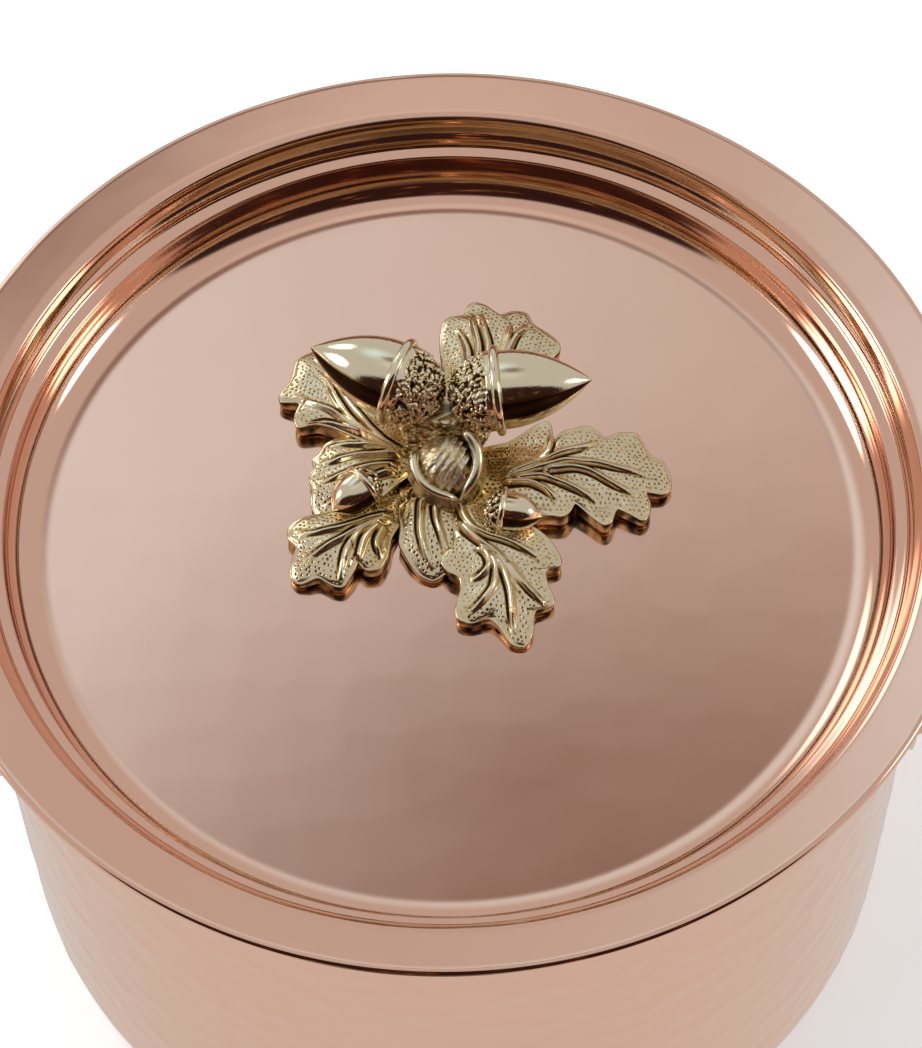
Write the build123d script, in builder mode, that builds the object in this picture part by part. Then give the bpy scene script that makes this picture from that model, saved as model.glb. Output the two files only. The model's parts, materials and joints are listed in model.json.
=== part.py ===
from build123d import *
import math
import os

# Copper stockpot with its fitted lid. Millimetres, +Z up, origin at the centre of the base.
# The lid's sheet and its oak leaf and acorn finial follow the photograph.
# The pot under the lid, its two handles and its rivets are what such a stockpot has.

# Pot body, hammered from one sheet of copper and lined with tin.
mouth_radius = 120.0
copper_wall = 2.0
tin_coat = 0.3
base_bend = 14.0
lip_height = 166.0
lip_flare = 3.6
lip_rise = 6.0
lip_bend = 6.0
lip_bead = 1.6

# Lid, spun from thinner copper: a flange, a slope, a narrow ledge, a wall and a sunken floor.
lid_sheet = 1.5
lid_clearance = 1.5
seat_gap = 0.3
flange_width = 12.8
flange_drop = 2.8
slope_run = 4.1
slope_drop = 8.1
ledge_width = 2.9
ledge_drop = 1.3
well_wall_lean = 0.3
well_wall_drop = 12.4
edge_bead = 1.4
soft_bend = 2.6
tight_bend = 0.9

# Side handles, cast in bronze and riveted to the wall.
handle_height = 122.0
handle_reach = 46.0
handle_half_span = 47.0
handle_bar = 5.5
bar_belly = 0.5
bar_spread = 0.7
grip_radius = 8.0
grip_length = 62.0
collar_width = 3.0
lug_angle = 16.0
lug_width = 25.0
lug_height = 50.0
lug_thickness = 3.5
rivet_radius = 2.5
rivet_head = 5.0
rivet_crown = 2.2
rivet_spacing = 31.0

# Finial, cast in bronze pieces brazed on a base plate. Heights are above the lid's floor.
plate_thickness = 2.5
plate_width = 24.0
plate_length = 22.0
plate_centre = (0.0, 9.0)
boss_radius = 7.0
boss_height = 4.6
screw_radius = 3.0
screw_clearance = 0.25
screw_bite = 4.2
screw_head_radius = 6.0
screw_head_height = 3.6
slot_width = 1.2
slot_depth = 1.4
washer_radius = 9.5
washer_thickness = 1.2

bud_centre = (0.0, 13.5)
bud_radius = 9.0
bud_height = 16.5
bud_foot = 6.0
bud_core_gap = 1.3
petal_thickness = 1.3
petal_lip = 0.9
fold_count = 7
fold_depth = 0.8

stem_foot = (0.0, 23.0)
stem_top = (-0.5, 28.0, 19.0)
stem_foot_size = (9.5, 7.0)
stem_top_size = (14.0, 6.5)

nut_radius = 10.0
nut_length = 22.8
nut_spigot = 2.0
cup_bead = 1.2
cup_depth = 13.5
cup_wall = 1.0

small_nut_radius = 4.8
small_nut_length = 9.6
small_nut_spigot = 1.0
small_cup_bead = 0.7
small_cup_depth = 5.4
small_cup_wall = 0.6

leaf_roll = 45.0
leaf_crown_place = 0.3
leaf_roll_share = 0.45
lobe_round = 1.8
lobe_room = 0.42
lobe_turn = 0.45
rib_height = 0.7
rib_base = 1.8
rib_end = 0.7
rib_reach = 0.86
rib_start = 0.5

# Where each acorn's cup opens and which way its nut points, from the lid's centre.
acorn_places = {
    "left": ((-13.0, 31.7, 24.0), (-21.0, 9.4, 2.0)),
    "right": ((14.4, 27.7, 24.0), (22.1, 0.9, 2.0)),
}
small_acorn_places = {
    "left": ((-21.9, 9.0, 8.2), (-6.9, -5.7, -1.0)),
    "right": ((14.3, 1.6, 8.2), (9.9, -1.8, -1.0)),
}

# The outer petals of the bud: where each starts, how far it wraps and how high it stands.
petal_wraps = ((95.0, 195.0, 0.0), (-62.0, 128.0, 0.9))

# Each leaf: root from the lid's centre, heading in degrees, height of its crown and of its tip,
# and its outline as (along, across), from the root up one side to the tip and back.
leaf_shapes = {
    "front": (
        (3.0, 9.0),
        -72.5,
        (6.5, 2.4),
        [(0, 3), (16, 14), (25.5, 18), (27.5, 17), (27.5, 12.5), (31, 11.5), (37, 12), (36.5, 6)]
        + [(42.5, 4.5), (45.5, 1), (44, -2), (36, -4), (35.5, -9.5), (33, -12.5), (26.5, -8.5)]
        + [(22.5, -7.5), (19, -11), (15.5, -10), (13.5, -5.5), (0, -3)],
    ),
    "right": (
        (11.0, 15.0),
        -4.0,
        (6.8, 3.6),
        [(-2, 3.5), (4.5, 9), (11, 15), (14.5, 16.5), (15.5, 10.5), (18, 13.5), (24.5, 15.5)]
        + [(27.5, 13.5), (28.5, 11), (32, 14), (37, 14.5), (39.5, 9.5), (43.5, 6.5), (46, 1)]
        + [(44, -3.5), (39.5, -3), (40.5, -8), (39, -12), (32, -8.5), (29.5, -14.5), (26.5, -12.5)]
        + [(21.5, -8), (18.5, -12.5), (15, -12), (2, -5)],
    ),
    "upper_left": (
        (-10.0, 23.0),
        138.0,
        (7.0, 4.0),
        [(-4, 4), (19, 7.5), (23, 9.5), (27, 13), (30, 10), (30.5, 6), (35.5, 9.5), (37.5, 6)]
        + [(37.5, 1), (42, -3), (39.5, -8), (35, -12.5), (29, -12), (23, -7), (16, -11), (-4, -5)],
    ),
    "mid_left": (
        (-10.0, 22.5),
        -166.0,
        (6.0, 3.2),
        [(-4, 4), (14, 13), (25, 13.5), (27.5, 9), (25.5, 6.5), (27.5, 4), (25, 1.5), (26, -1)]
        + [(23, -3.5), (24, -6), (20.5, -6.5), (19, -9.5), (11.5, -10.5), (-4, -5)],
    ),
    "front_left": (
        (-20.0, 4.0),
        -139.0,
        (6.5, 3.2),
        [(-15, 3), (0, 8), (4, 11.5), (8.5, 13.5), (11.5, 11.5), (11, 8), (14, 9.5), (18.5, 11)]
        + [(20.5, 4.5), (24, 3.5), (26.5, 1), (25.5, -2), (19.5, -5), (19, -9.5), (16, -12)]
        + [(2, -4.5), (-15, -3)],
    ),
    "back": (
        (4.5, 38.5),
        73.0,
        (8.0, 5.0),
        [(-12, 4), (6, 6), (11.5, 9), (18, 11.5), (23, 10.5), (24.5, 5.5), (29, 6.5), (30.5, 4)]
        + [(29.5, 0.5), (27, -3), (30.5, -7), (29.5, -11), (26, -12.5), (25, -19), (20, -20.5)]
        + [(12, -16), (-2, -6), (-12, -4)],
    ),
    "centre": (
        (-3.0, 11.0),
        -94.0,
        (7.0, 3.4),
        [(-2, 3), (14, 6), (19, 4.5), (21.5, 1.5), (23, -0.5), (19.5, -3.5), (18, -6)]
        + [(14.5, -8.5), (8, -9.5), (6, -7), (4.5, -9.5), (0, -9.5), (-2, -5)],
    ),
}


def shifted(corners, bends, distance):
    """The bent line moved to its left by distance, with mitred corners and matching bends."""
    points = [Vector(*corner) for corner in corners]
    ways = [(end - start).normalized() for start, end in zip(points, points[1:])]
    lefts = [Vector(-way.Y, way.X) for way in ways]
    moved = [points[0] + lefts[0] * distance]
    radii = []
    for corner, bend, before, after in zip(points[1:-1], bends, lefts, lefts[1:]):
        moved.append(corner + (before + after) * (distance / (1 + before.dot(after))))
        turn = 1 if before.cross(after).Z > 0 else -1
        radii.append(max(bend - turn * distance, 0.2))
    moved.append(points[-1] + lefts[-1] * distance)
    return moved, radii


def sheet(corners, bends, near, far):
    """The section of a bent sheet that lies between two distances left of a line."""
    inner, inner_radii = shifted(corners, bends, near)
    outer, outer_radii = shifted(corners, bends, far)
    with BuildSketch() as section:
        with BuildLine():
            FilletPolyline(*inner, radius=inner_radii)
            Line(inner[-1], outer[-1])
            FilletPolyline(*outer, radius=outer_radii)
            Line(outer[0], inner[0])
        make_face()
    return section.sketch_local


def finish(builder, label):
    """Name a finished piece and write it to its own file."""
    builder.part.label = label
    export_step(builder.part, f"parts/{label}.step")


os.makedirs("parts", exist_ok=True)

# Places that several pieces share.
pot_radius = mouth_radius + copper_wall
lining_radius = mouth_radius - tin_coat
shoulder_radius = lining_radius - lid_clearance
lid_radius = shoulder_radius + flange_width
flange_end = lid_radius - edge_bead
flange_slope = flange_drop / (flange_end - shoulder_radius)
flange_stretch = math.hypot(1, flange_slope)
lip_radius = mouth_radius + lip_flare
bead_radius = lip_radius + copper_wall / 2
lid_under = lid_sheet + tin_coat
lip_to_lid = (lip_bead + seat_gap + lid_under) * flange_stretch
lid_top = lip_height + lip_to_lid + flange_slope * (flange_end - bead_radius)
ledge_outer = shoulder_radius - slope_run
ledge_inner = ledge_outer - ledge_width
lid_floor = lid_top - flange_drop - slope_drop - ledge_drop - well_wall_drop
floor_underside = lid_floor - lid_under


# Pot wall: one sheet from the middle of the base up to the flared, beaded lip.
pot_line = [
    (0, copper_wall),
    (mouth_radius, copper_wall),
    (mouth_radius, lip_height - lip_rise),
    (lip_radius, lip_height),
]
pot_bends = [base_bend, lip_bend]

rivet_planes = [
    Plane(
        origin=(0, 0, handle_height + up * rivet_spacing / 2),
        x_dir=(-math.sin(math.radians(angle)), math.cos(math.radians(angle)), 0),
        z_dir=(math.cos(math.radians(angle)), math.sin(math.radians(angle)), 0),
    )
    for angle in (lug_angle, -lug_angle, 180 - lug_angle, 180 + lug_angle)
    for up in (-1, 1)
]

with BuildPart() as pot_wall:
    with BuildSketch(Plane.XZ):
        add(sheet(pot_line, pot_bends, 0, -copper_wall))
        with Locations((bead_radius, lip_height)):
            Circle(lip_bead)
    revolve(axis=Axis.Z)
    with BuildSketch(*rivet_planes):
        Circle(rivet_radius)
    extrude(amount=pot_radius + lug_thickness, mode=Mode.SUBTRACT)
finish(pot_wall, "pot_wall")

with BuildPart() as pot_tin_lining:
    with BuildSketch(Plane.XZ):
        add(sheet(pot_line, pot_bends, tin_coat, 0))
        with Locations((bead_radius, lip_height)):
            Circle(lip_bead, mode=Mode.SUBTRACT)
    revolve(axis=Axis.Z)
    with BuildSketch(*rivet_planes):
        Circle(rivet_radius)
    extrude(amount=pot_radius + lug_thickness, mode=Mode.SUBTRACT)
finish(pot_tin_lining, "pot_tin_lining")


# Handle: two shield lugs that follow the wall, a bent bar and a swelling grip between collars.
grip_middle = pot_radius + handle_reach
bar_start = pot_radius * math.cos(math.radians(lug_angle))
bar_offset = pot_radius * math.sin(math.radians(lug_angle))
collar_radius = (handle_bar + grip_radius) / 2
lug_planes = [
    Plane(
        origin=(0, 0, 0),
        x_dir=(-math.sin(turn), math.cos(turn), 0),
        z_dir=(math.cos(turn), math.sin(turn), 0),
    )
    for turn in (math.radians(lug_angle), -math.radians(lug_angle))
]

with BuildPart() as handle:
    with BuildSketch(*lug_planes):
        Ellipse(lug_width / 2, lug_height / 2)
    extrude(amount=pot_radius + 2 * lug_thickness)
    Cylinder(pot_radius + lug_thickness, 2 * lug_height, mode=Mode.INTERSECT)
    with BuildLine() as bar_line:
        far_bend = Spline(
            (bar_start, bar_offset),
            (bar_start + bar_belly * handle_reach, handle_half_span),
            (grip_middle, grip_length / 2),
            tangents=[(1, bar_spread), (0, -1)],
        )
        Line(far_bend @ 1, (grip_middle, -grip_length / 2))
        Spline(
            (grip_middle, -grip_length / 2),
            (bar_start + bar_belly * handle_reach, -handle_half_span),
            (bar_start, -bar_offset),
            tangents=[(0, -1), (-1, bar_spread)],
        )
    with BuildSketch(Plane(origin=far_bend @ 0, z_dir=far_bend % 0)):
        Circle(handle_bar)
    sweep(path=bar_line.line)
    with BuildSketch(Plane(origin=(grip_middle, 0, 0), x_dir=(0, 1, 0))):
        with BuildLine():
            grip_arc = ThreePointArc(
                (-grip_length / 2, handle_bar), (0, grip_radius), (grip_length / 2, handle_bar)
            )
            Polyline(grip_arc @ 1, (grip_length / 2, 0), (-grip_length / 2, 0), grip_arc @ 0)
        make_face()
        with Locations((-grip_length / 2, collar_radius / 2), (grip_length / 2, collar_radius / 2)):
            Rectangle(collar_width, collar_radius)
    revolve(axis=Axis((grip_middle, 0, 0), (0, 1, 0)))
    Cylinder(pot_radius, 4 * lug_height, mode=Mode.SUBTRACT)

for side, turn in (("right", 0), ("left", 180)):
    with BuildPart() as placed_handle:
        with Locations((0, 0, handle_height)):
            add(handle.part, rotation=(0, 0, turn))
        with BuildSketch(*rivet_planes):
            Circle(rivet_radius)
        extrude(amount=pot_radius + 2 * lug_thickness, mode=Mode.SUBTRACT)
    finish(placed_handle, f"handle_{side}")

# Rivets: a shank through lug, wall and lining, with a low dome at each end.
inner_seat = math.sqrt(lining_radius**2 - rivet_head**2)
outer_seat = pot_radius + lug_thickness
outer_dome = (rivet_head**2 + rivet_crown**2) / (2 * rivet_crown)
inner_dome = (rivet_head**2 + rivet_crown**2 / 4) / rivet_crown
with BuildPart() as rivet:
    with BuildSketch(Plane.XZ):
        with BuildLine():
            Line((0, inner_seat - rivet_crown / 2), (0, outer_seat + rivet_crown))
            RadiusArc((rivet_head, outer_seat), (0, outer_seat + rivet_crown), -outer_dome)
            Polyline(
                (rivet_head, outer_seat),
                (rivet_radius, outer_seat),
                (rivet_radius, inner_seat),
                (rivet_head, inner_seat),
            )
            RadiusArc((0, inner_seat - rivet_crown / 2), (rivet_head, inner_seat), -inner_dome)
        make_face()
    revolve(axis=Axis.Z)

with BuildPart() as handle_rivets:
    with Locations(*rivet_planes):
        add(rivet.part)
finish(handle_rivets, "handle_rivets")


# Lid: the same bent sheet gives the copper pan and the tin under it.
screw_hole = screw_radius + screw_clearance
lid_line = [
    (screw_hole, lid_floor),
    (ledge_inner - well_wall_lean, lid_floor),
    (ledge_inner, lid_floor + well_wall_drop),
    (ledge_outer, lid_floor + well_wall_drop + ledge_drop),
    (shoulder_radius, lid_top - flange_drop),
    (flange_end, lid_top),
]
lid_bends = [tight_bend, tight_bend, tight_bend, soft_bend]

with BuildPart() as lid_pan:
    with BuildSketch(Plane.XZ):
        add(sheet(lid_line, lid_bends, 0, -lid_sheet))
        with Locations((flange_end, lid_top - edge_bead)):
            Circle(edge_bead)
    revolve(axis=Axis.Z)
finish(lid_pan, "lid_pan")

with BuildPart() as lid_tin_lining:
    with BuildSketch(Plane.XZ):
        add(sheet(lid_line, lid_bends, -lid_sheet, -lid_under))
        with Locations((flange_end, lid_top - edge_bead)):
            Circle(edge_bead, mode=Mode.SUBTRACT)
    revolve(axis=Axis.Z)
finish(lid_tin_lining, "lid_tin_lining")

# The screw comes up through a washer and the floor into the boss of the finial's plate.
washer_face = floor_underside - washer_thickness
with BuildPart() as finial_washer:
    with BuildSketch(Plane.XY.offset(washer_face)):
        Circle(washer_radius)
        Circle(screw_hole, mode=Mode.SUBTRACT)
    extrude(amount=washer_thickness)
finish(finial_washer, "finial_washer")

screw_tip = lid_floor + screw_bite
with BuildPart() as finial_screw:
    with BuildSketch(Plane.XY.offset(washer_face - screw_head_height)):
        Circle(screw_head_radius)
    extrude(amount=screw_head_height)
    fillet(finial_screw.edges().sort_by(Axis.Z)[0], screw_head_height / 3)
    with BuildSketch(Plane.XY.offset(washer_face)):
        Circle(screw_radius)
    extrude(amount=screw_tip - washer_face)
    with BuildSketch(Plane.XY.offset(washer_face - screw_head_height)):
        Rectangle(3 * screw_head_radius, slot_width)
    extrude(amount=slot_depth, mode=Mode.SUBTRACT)
finish(finial_screw, "finial_screw")


# Finial: each piece is cut to fit the ones that are brazed on before it.
settled = [finial_screw.part]


def settle(builder, label):
    """Keep a finished finial piece, so that later pieces are cut to fit it."""
    settled.append(builder.part)
    finish(builder, label)


def on_floor(x, y, height):
    """A point above the lid's floor."""
    return Vector(x, y, lid_floor + height)


with BuildPart() as finial_plate:
    with BuildSketch(Plane.XY.offset(lid_floor)):
        with Locations(plate_centre):
            SlotCenterToCenter(plate_length, plate_width, rotation=90)
    extrude(amount=plate_thickness)
    with BuildSketch(Plane.XY.offset(lid_floor)):
        Circle(boss_radius)
    extrude(amount=boss_height)
    with BuildSketch(Plane.XY.offset(lid_floor)):
        Circle(screw_radius)
    extrude(amount=screw_bite, mode=Mode.SUBTRACT)
settle(finial_plate, "finial_plate")


def acorn(side, place, pointing, size):
    """Make one acorn: a pebbled cup with a beaded rim and a pointed nut seated in it."""
    radius, length, spigot, bead, depth, wall, prefix = size
    axis = Axis(on_floor(*place), pointing)
    across = Vector(0, 0, 1).cross(axis.direction)
    profile_plane = Plane(origin=axis.position, x_dir=axis.direction, z_dir=across)
    socket = radius - wall
    with BuildPart() as cup:
        with BuildSketch(profile_plane):
            with BuildLine():
                back = Spline(
                    (-bead, radius + bead / 2),
                    (-0.74 * depth, 0.72 * radius),
                    (-depth, 0),
                    tangents=[(-1, 0), (0, -1)],
                )
                Polyline(back @ 1, (-spigot, 0), (-spigot, socket), (0, socket))
                Line((0, socket), (0, radius + bead / 2))
                Line((0, radius + bead / 2), back @ 0)
            make_face()
            with Locations((-bead, radius + bead / 2)):
                Circle(bead)
        revolve(axis=axis)
        for piece in settled:
            add(piece, mode=Mode.SUBTRACT)
    settle(cup, f"{prefix}acorn_cup_{side}")
    with BuildPart() as nut:
        with BuildSketch(profile_plane):
            with BuildLine():
                Polyline((length, 0), (-spigot, 0), (-spigot, socket), (0, socket), (0, radius))
                Spline(
                    (0, radius),
                    (0.42 * length, 0.84 * radius),
                    (0.76 * length, 0.44 * radius),
                    (length, 0),
                )
            make_face()
        revolve(axis=axis)
        for piece in settled:
            add(piece, mode=Mode.SUBTRACT)
    settle(nut, f"{prefix}acorn_nut_{side}")


large_acorn = (nut_radius, nut_length, nut_spigot, cup_bead, cup_depth, cup_wall, "")
small_acorn = (
    small_nut_radius,
    small_nut_length,
    small_nut_spigot,
    small_cup_bead,
    small_cup_depth,
    small_cup_wall,
    "small_",
)
for side, (place, pointing) in acorn_places.items():
    acorn(side, place, pointing, large_acorn)
for side, (place, pointing) in small_acorn_places.items():
    acorn(side, place, pointing, small_acorn)

# The bud: a folded core inside two thick petals that curl round it.
bud_axis = Axis(on_floor(*bud_centre, 0), (0, 0, 1))
core_radius = bud_radius - petal_thickness / 2 - bud_core_gap
petal_middle = 0.6 * bud_height


def bud_section(turn):
    """The upright plane through the bud's axis that faces turn degrees."""
    angle = math.radians(turn)
    return Plane(
        origin=bud_axis.position,
        x_dir=(math.cos(angle), math.sin(angle), 0),
        z_dir=(math.sin(angle), -math.cos(angle), 0),
    )


with BuildPart() as bud:
    with BuildSketch(bud_section(0)):
        with BuildLine():
            Polyline((0, bud_height + petal_lip), (0, plate_thickness), (bud_foot, plate_thickness))
            Line((bud_foot, plate_thickness), (core_radius, petal_middle))
            RadiusArc(
                (core_radius, petal_middle),
                (0, bud_height + petal_lip),
                -(core_radius**2 + (bud_height + petal_lip - petal_middle) ** 2)
                / (2 * (bud_height + petal_lip - petal_middle)),
            )
        make_face()
    revolve(axis=bud_axis)
    with BuildSketch(Plane.XY.offset(lid_floor + bud_height + petal_lip)):
        with Locations(bud_centre):
            with PolarLocations(core_radius / 2, fold_count):
                Rectangle(core_radius, fold_depth)
    extrude(amount=-2 * fold_depth, mode=Mode.SUBTRACT)
    for start, wrap, rise in petal_wraps:
        with BuildSketch(bud_section(start)):
            with BuildLine():
                outside = ThreePointArc(
                    (bud_foot + petal_thickness, plate_thickness),
                    (bud_radius + petal_thickness / 2, petal_middle),
                    (bud_radius + petal_thickness / 2, bud_height + rise),
                )
                inside = ThreePointArc(
                    (bud_foot - petal_thickness, plate_thickness),
                    (bud_radius - petal_thickness / 2, petal_middle),
                    (bud_radius - petal_thickness / 2, bud_height + rise),
                )
                Line(outside @ 0, inside @ 0)
                Line(outside @ 1, inside @ 1)
            make_face()
            with Locations((bud_radius, bud_height + rise)):
                Circle(petal_lip)
        revolve(axis=bud_axis, revolution_arc=wrap)
    for piece in settled:
        add(piece, mode=Mode.SUBTRACT)
settle(bud, "bud")

# The trunk that carries the two large acorns rises behind the bud and widens under their cups.
with BuildPart() as finial_stem:
    with BuildSketch(Plane.XY.offset(lid_floor + plate_thickness)):
        with Locations(stem_foot):
            Ellipse(*stem_foot_size)
    with BuildSketch(Plane.XY.offset(lid_floor + stem_top[2])):
        with Locations(stem_top[:2]):
            Ellipse(*stem_top_size)
    loft()
    for piece in settled:
        add(piece, mode=Mode.SUBTRACT)
    add(finial_stem.solids().sort_by(SortBy.VOLUME)[-1], mode=Mode.REPLACE)
settle(finial_stem, "finial_stem")


def ends_lobe(before, corner, after):
    """Whether an outline that runs clockwise turns sharply outward at a corner: there a lobe ends."""
    step_in = (Vector(*corner) - Vector(*before)).normalized()
    step_out = (Vector(*after) - Vector(*corner)).normalized()
    return step_in.cross(step_out).Z < -lobe_turn


def leaf(name, root, heading, heights, outline):
    """Make one oak leaf: a lobed outline under a curved vault, with a raised rib to each lobe."""
    turn = math.radians(heading)
    crown, tip_height = heights
    leaf_plane = Plane(
        origin=on_floor(*root, 0), x_dir=(math.cos(turn), math.sin(turn), 0), z_dir=(0, 0, 1)
    )
    length = max(along for along, across in outline)
    crown_at = leaf_crown_place * length
    fall = crown - tip_height
    arch_radius = ((length - crown_at) ** 2 + fall**2) / (2 * fall)
    roll_radius = min(leaf_roll, leaf_roll_share * arch_radius)
    vault_plane = Plane(
        origin=leaf_plane.from_local_coords((crown_at, 0, crown - arch_radius)),
        x_dir=leaf_plane.x_dir,
        z_dir=leaf_plane.y_dir,
    )
    corners = list(zip(outline[-1:] + outline, outline, outline[1:] + outline[:1]))
    lobes = [corner for before, corner, after in corners if ends_lobe(before, corner, after)]
    rounds = []
    for before, corner, after in corners:
        into = Vector(*before) - Vector(*corner)
        out_of = Vector(*after) - Vector(*corner)
        half_angle = math.radians(into.get_angle(out_of)) / 2
        room = lobe_room * min(into.length, out_of.length) * math.tan(half_angle)
        rounds.append(min(lobe_round, room))
    with BuildPart() as ribs:
        with BuildSketch(leaf_plane):
            with BuildLine():
                FilletPolyline(*outline, radius=rounds, close=True)
            make_face()
        extrude(amount=2 * crown)
        with BuildSketch(leaf_plane):
            for along, across in lobes:
                end = Vector(along, across) * rib_reach
                start = Vector(max(rib_start * end.X - abs(end.Y) / 3, 0), 0)
                if end.X < length / 3:
                    continue
                side = (end - start).normalized().rotate(Axis.Z, 90)
                with BuildLine():
                    Polyline(
                        start + side * (rib_base / 2),
                        end + side * (rib_end / 2),
                        end - side * (rib_end / 2),
                        start - side * (rib_base / 2),
                        close=True,
                    )
                make_face()
            with BuildLine():
                Polyline(
                    (0, rib_base / 2),
                    (rib_reach * length, rib_end / 2),
                    (rib_reach * length, -rib_end / 2),
                    (0, -rib_base / 2),
                    close=True,
                )
            make_face()
        extrude(amount=2 * crown, mode=Mode.INTERSECT)
        with Locations(vault_plane):
            Torus(arch_radius - roll_radius, roll_radius + rib_height, mode=Mode.INTERSECT)
    with BuildPart() as blade:
        with BuildSketch(leaf_plane):
            with BuildLine():
                FilletPolyline(*outline, radius=rounds, close=True)
            make_face()
        extrude(amount=2 * crown)
        with Locations(vault_plane):
            Torus(arch_radius - roll_radius, roll_radius, mode=Mode.INTERSECT)
        add(ribs.part)
        for piece in settled:
            add(piece, mode=Mode.SUBTRACT)
        add(blade.solids().sort_by(SortBy.VOLUME)[-1], mode=Mode.REPLACE)
    settle(blade, f"leaf_{name}")


for name, (root, heading, heights, outline) in leaf_shapes.items():
    leaf(name, root, heading, heights, outline)
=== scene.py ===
# %% [markdown]
# # A copper stockpot with an oak leaf and acorn finial
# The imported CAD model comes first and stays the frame: it fixes every size, and the lid of it lifts.
# Each visible piece is then made again as a finer surface on the same places, in metres,
# because mirror-bright metal shows every facet and every dent.

import json
import math

import bpy
import numpy as np
from mathutils import Matrix, Vector


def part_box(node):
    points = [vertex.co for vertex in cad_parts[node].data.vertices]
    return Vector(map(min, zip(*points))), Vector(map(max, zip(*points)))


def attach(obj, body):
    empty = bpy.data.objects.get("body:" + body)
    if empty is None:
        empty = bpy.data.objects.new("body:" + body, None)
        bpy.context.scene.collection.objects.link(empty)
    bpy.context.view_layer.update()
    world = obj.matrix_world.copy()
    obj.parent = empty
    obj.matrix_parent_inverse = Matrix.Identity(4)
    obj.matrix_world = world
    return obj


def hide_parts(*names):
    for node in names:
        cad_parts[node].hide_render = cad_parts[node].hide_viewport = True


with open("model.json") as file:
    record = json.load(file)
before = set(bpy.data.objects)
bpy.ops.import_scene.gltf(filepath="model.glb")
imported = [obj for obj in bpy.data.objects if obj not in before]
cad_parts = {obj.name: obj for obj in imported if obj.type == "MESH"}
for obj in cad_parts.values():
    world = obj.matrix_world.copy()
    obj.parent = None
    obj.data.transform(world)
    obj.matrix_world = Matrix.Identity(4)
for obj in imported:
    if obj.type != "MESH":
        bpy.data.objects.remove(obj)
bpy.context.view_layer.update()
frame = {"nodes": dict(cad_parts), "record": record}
MM = 0.001
lid_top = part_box("lid_pan")[1].z / MM
lid_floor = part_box("finial_plate")[0].z / MM
lip_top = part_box("pot_wall")[1].z / MM
print("lid top, floor of the lid and lip in mm:", round(lid_top, 2), round(lid_floor, 2), round(lip_top, 2))

# %% [markdown]
# ## Camera
# The photograph looks down on the lid from six lid radii away. The angles were found by fitting
# the rim of the lid and the rings of its well, so the camera can be set before anything is made.
# A long lens keeps the ellipse of the rim nearly free of perspective.

# %% Set the camera
lid_radius = 131.0
eye_distance = 6 * lid_radius
eye_elevation = math.radians(57.55)
eye_pan, eye_tilt, eye_roll = math.radians(-0.22), math.radians(-0.74), math.radians(1.66)
focal_pixels, frame_height, sensor = 3187.3, 1048, 36.0

look = Vector((0, math.cos(eye_elevation), -math.sin(eye_elevation)))
eye = Vector((0, 0, lid_top)) - look * eye_distance
right = Vector((1, 0, 0))
up = right.cross(look)
turn = Matrix.Rotation(eye_pan, 3, up)
look, right = turn @ look, turn @ right
turn = Matrix.Rotation(eye_tilt, 3, right)
look, up = turn @ look, turn @ up
turn = Matrix.Rotation(eye_roll, 3, look)
right, up = turn @ right, turn @ up

camera_data = bpy.data.cameras.new("photo_camera")
camera_data.sensor_width = sensor
camera_data.lens = focal_pixels / frame_height * sensor
camera_data.clip_end = 20
camera = bpy.data.objects.new("photo_camera", camera_data)
bpy.context.scene.collection.objects.link(camera)
camera.matrix_world = Matrix.Translation(eye * MM) @ Matrix((right, up, -look)).transposed().to_4x4()
bpy.context.scene.camera = camera
print("lens in mm:", round(camera_data.lens, 1))

# %% [markdown]
# ## Studio
# Polished metal has hardly any colour of its own: it shows the room. So the room is made with care,
# from soft patches laid over one another. It is pale behind the pot, dimmer above it, and dark and warm
# behind the camera, which draws the dark bands on the rings. Soft boxes at the left, the right and the
# back left draw the white streaks. Below the horizon lies the tone of a table, with three dark flags
# that give the pot's wall its shape, so the real floor can stay out of the reflections.
# Rays that leave the camera directly see plain white, as in a product photograph.

# %% Small helpers for node trees
def put(tree, kind, **values):
    """Add a node. Names of sockets are given with spaces as underscores, other names are settings."""
    node = tree.nodes.new(kind)
    for name, value in values.items():
        sockets = [s for s in node.inputs if s.name.replace(" ", "_") == name and s.enabled]
        if hasattr(node, name):
            setattr(node, name, value)
        else:
            sockets[0].default_value = value
    return node


def maths(tree, operation, *values, clamp=False):
    """A Math node whose inputs are numbers or sockets. Returns its output."""
    node = put(tree, "ShaderNodeMath", operation=operation, use_clamp=clamp)
    for socket, value in zip(node.inputs, values):
        if isinstance(value, (int, float)):
            socket.default_value = value
        else:
            tree.links.new(value, socket)
    return node.outputs[0]


def blend(tree, factor, first, second, mode="MIX"):
    """A colour Mix node: factor 0 gives the first colour and 1 the second."""
    node = put(tree, "ShaderNodeMix", data_type="RGBA", blend_type=mode)
    for place, value in zip((0, 6, 7), (factor, first, second)):
        if isinstance(value, (int, float, tuple)):
            node.inputs[place].default_value = value
        else:
            tree.links.new(value, node.inputs[place])
    return node.outputs[2]


def soft_step(tree, value, low, high):
    """0 below low and 1 above high, with a smooth rise between. Low may be the larger one."""
    node = put(tree, "ShaderNodeMapRange", interpolation_type="SMOOTHSTEP", From_Min=low, From_Max=high)
    tree.links.new(value, node.inputs["Value"])
    return node.outputs["Result"]


# %% Paint the room on the world
room = bpy.data.worlds.new("studio_room")
bpy.context.scene.world = room
room.use_nodes = True
paint = room.node_tree
paint.nodes.clear()
heading = put(paint, "ShaderNodeTexCoord").outputs["Generated"]
split_heading = put(paint, "ShaderNodeSeparateXYZ")
paint.links.new(heading, split_heading.inputs[0])
upward = split_heading.outputs["Z"]


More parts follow.
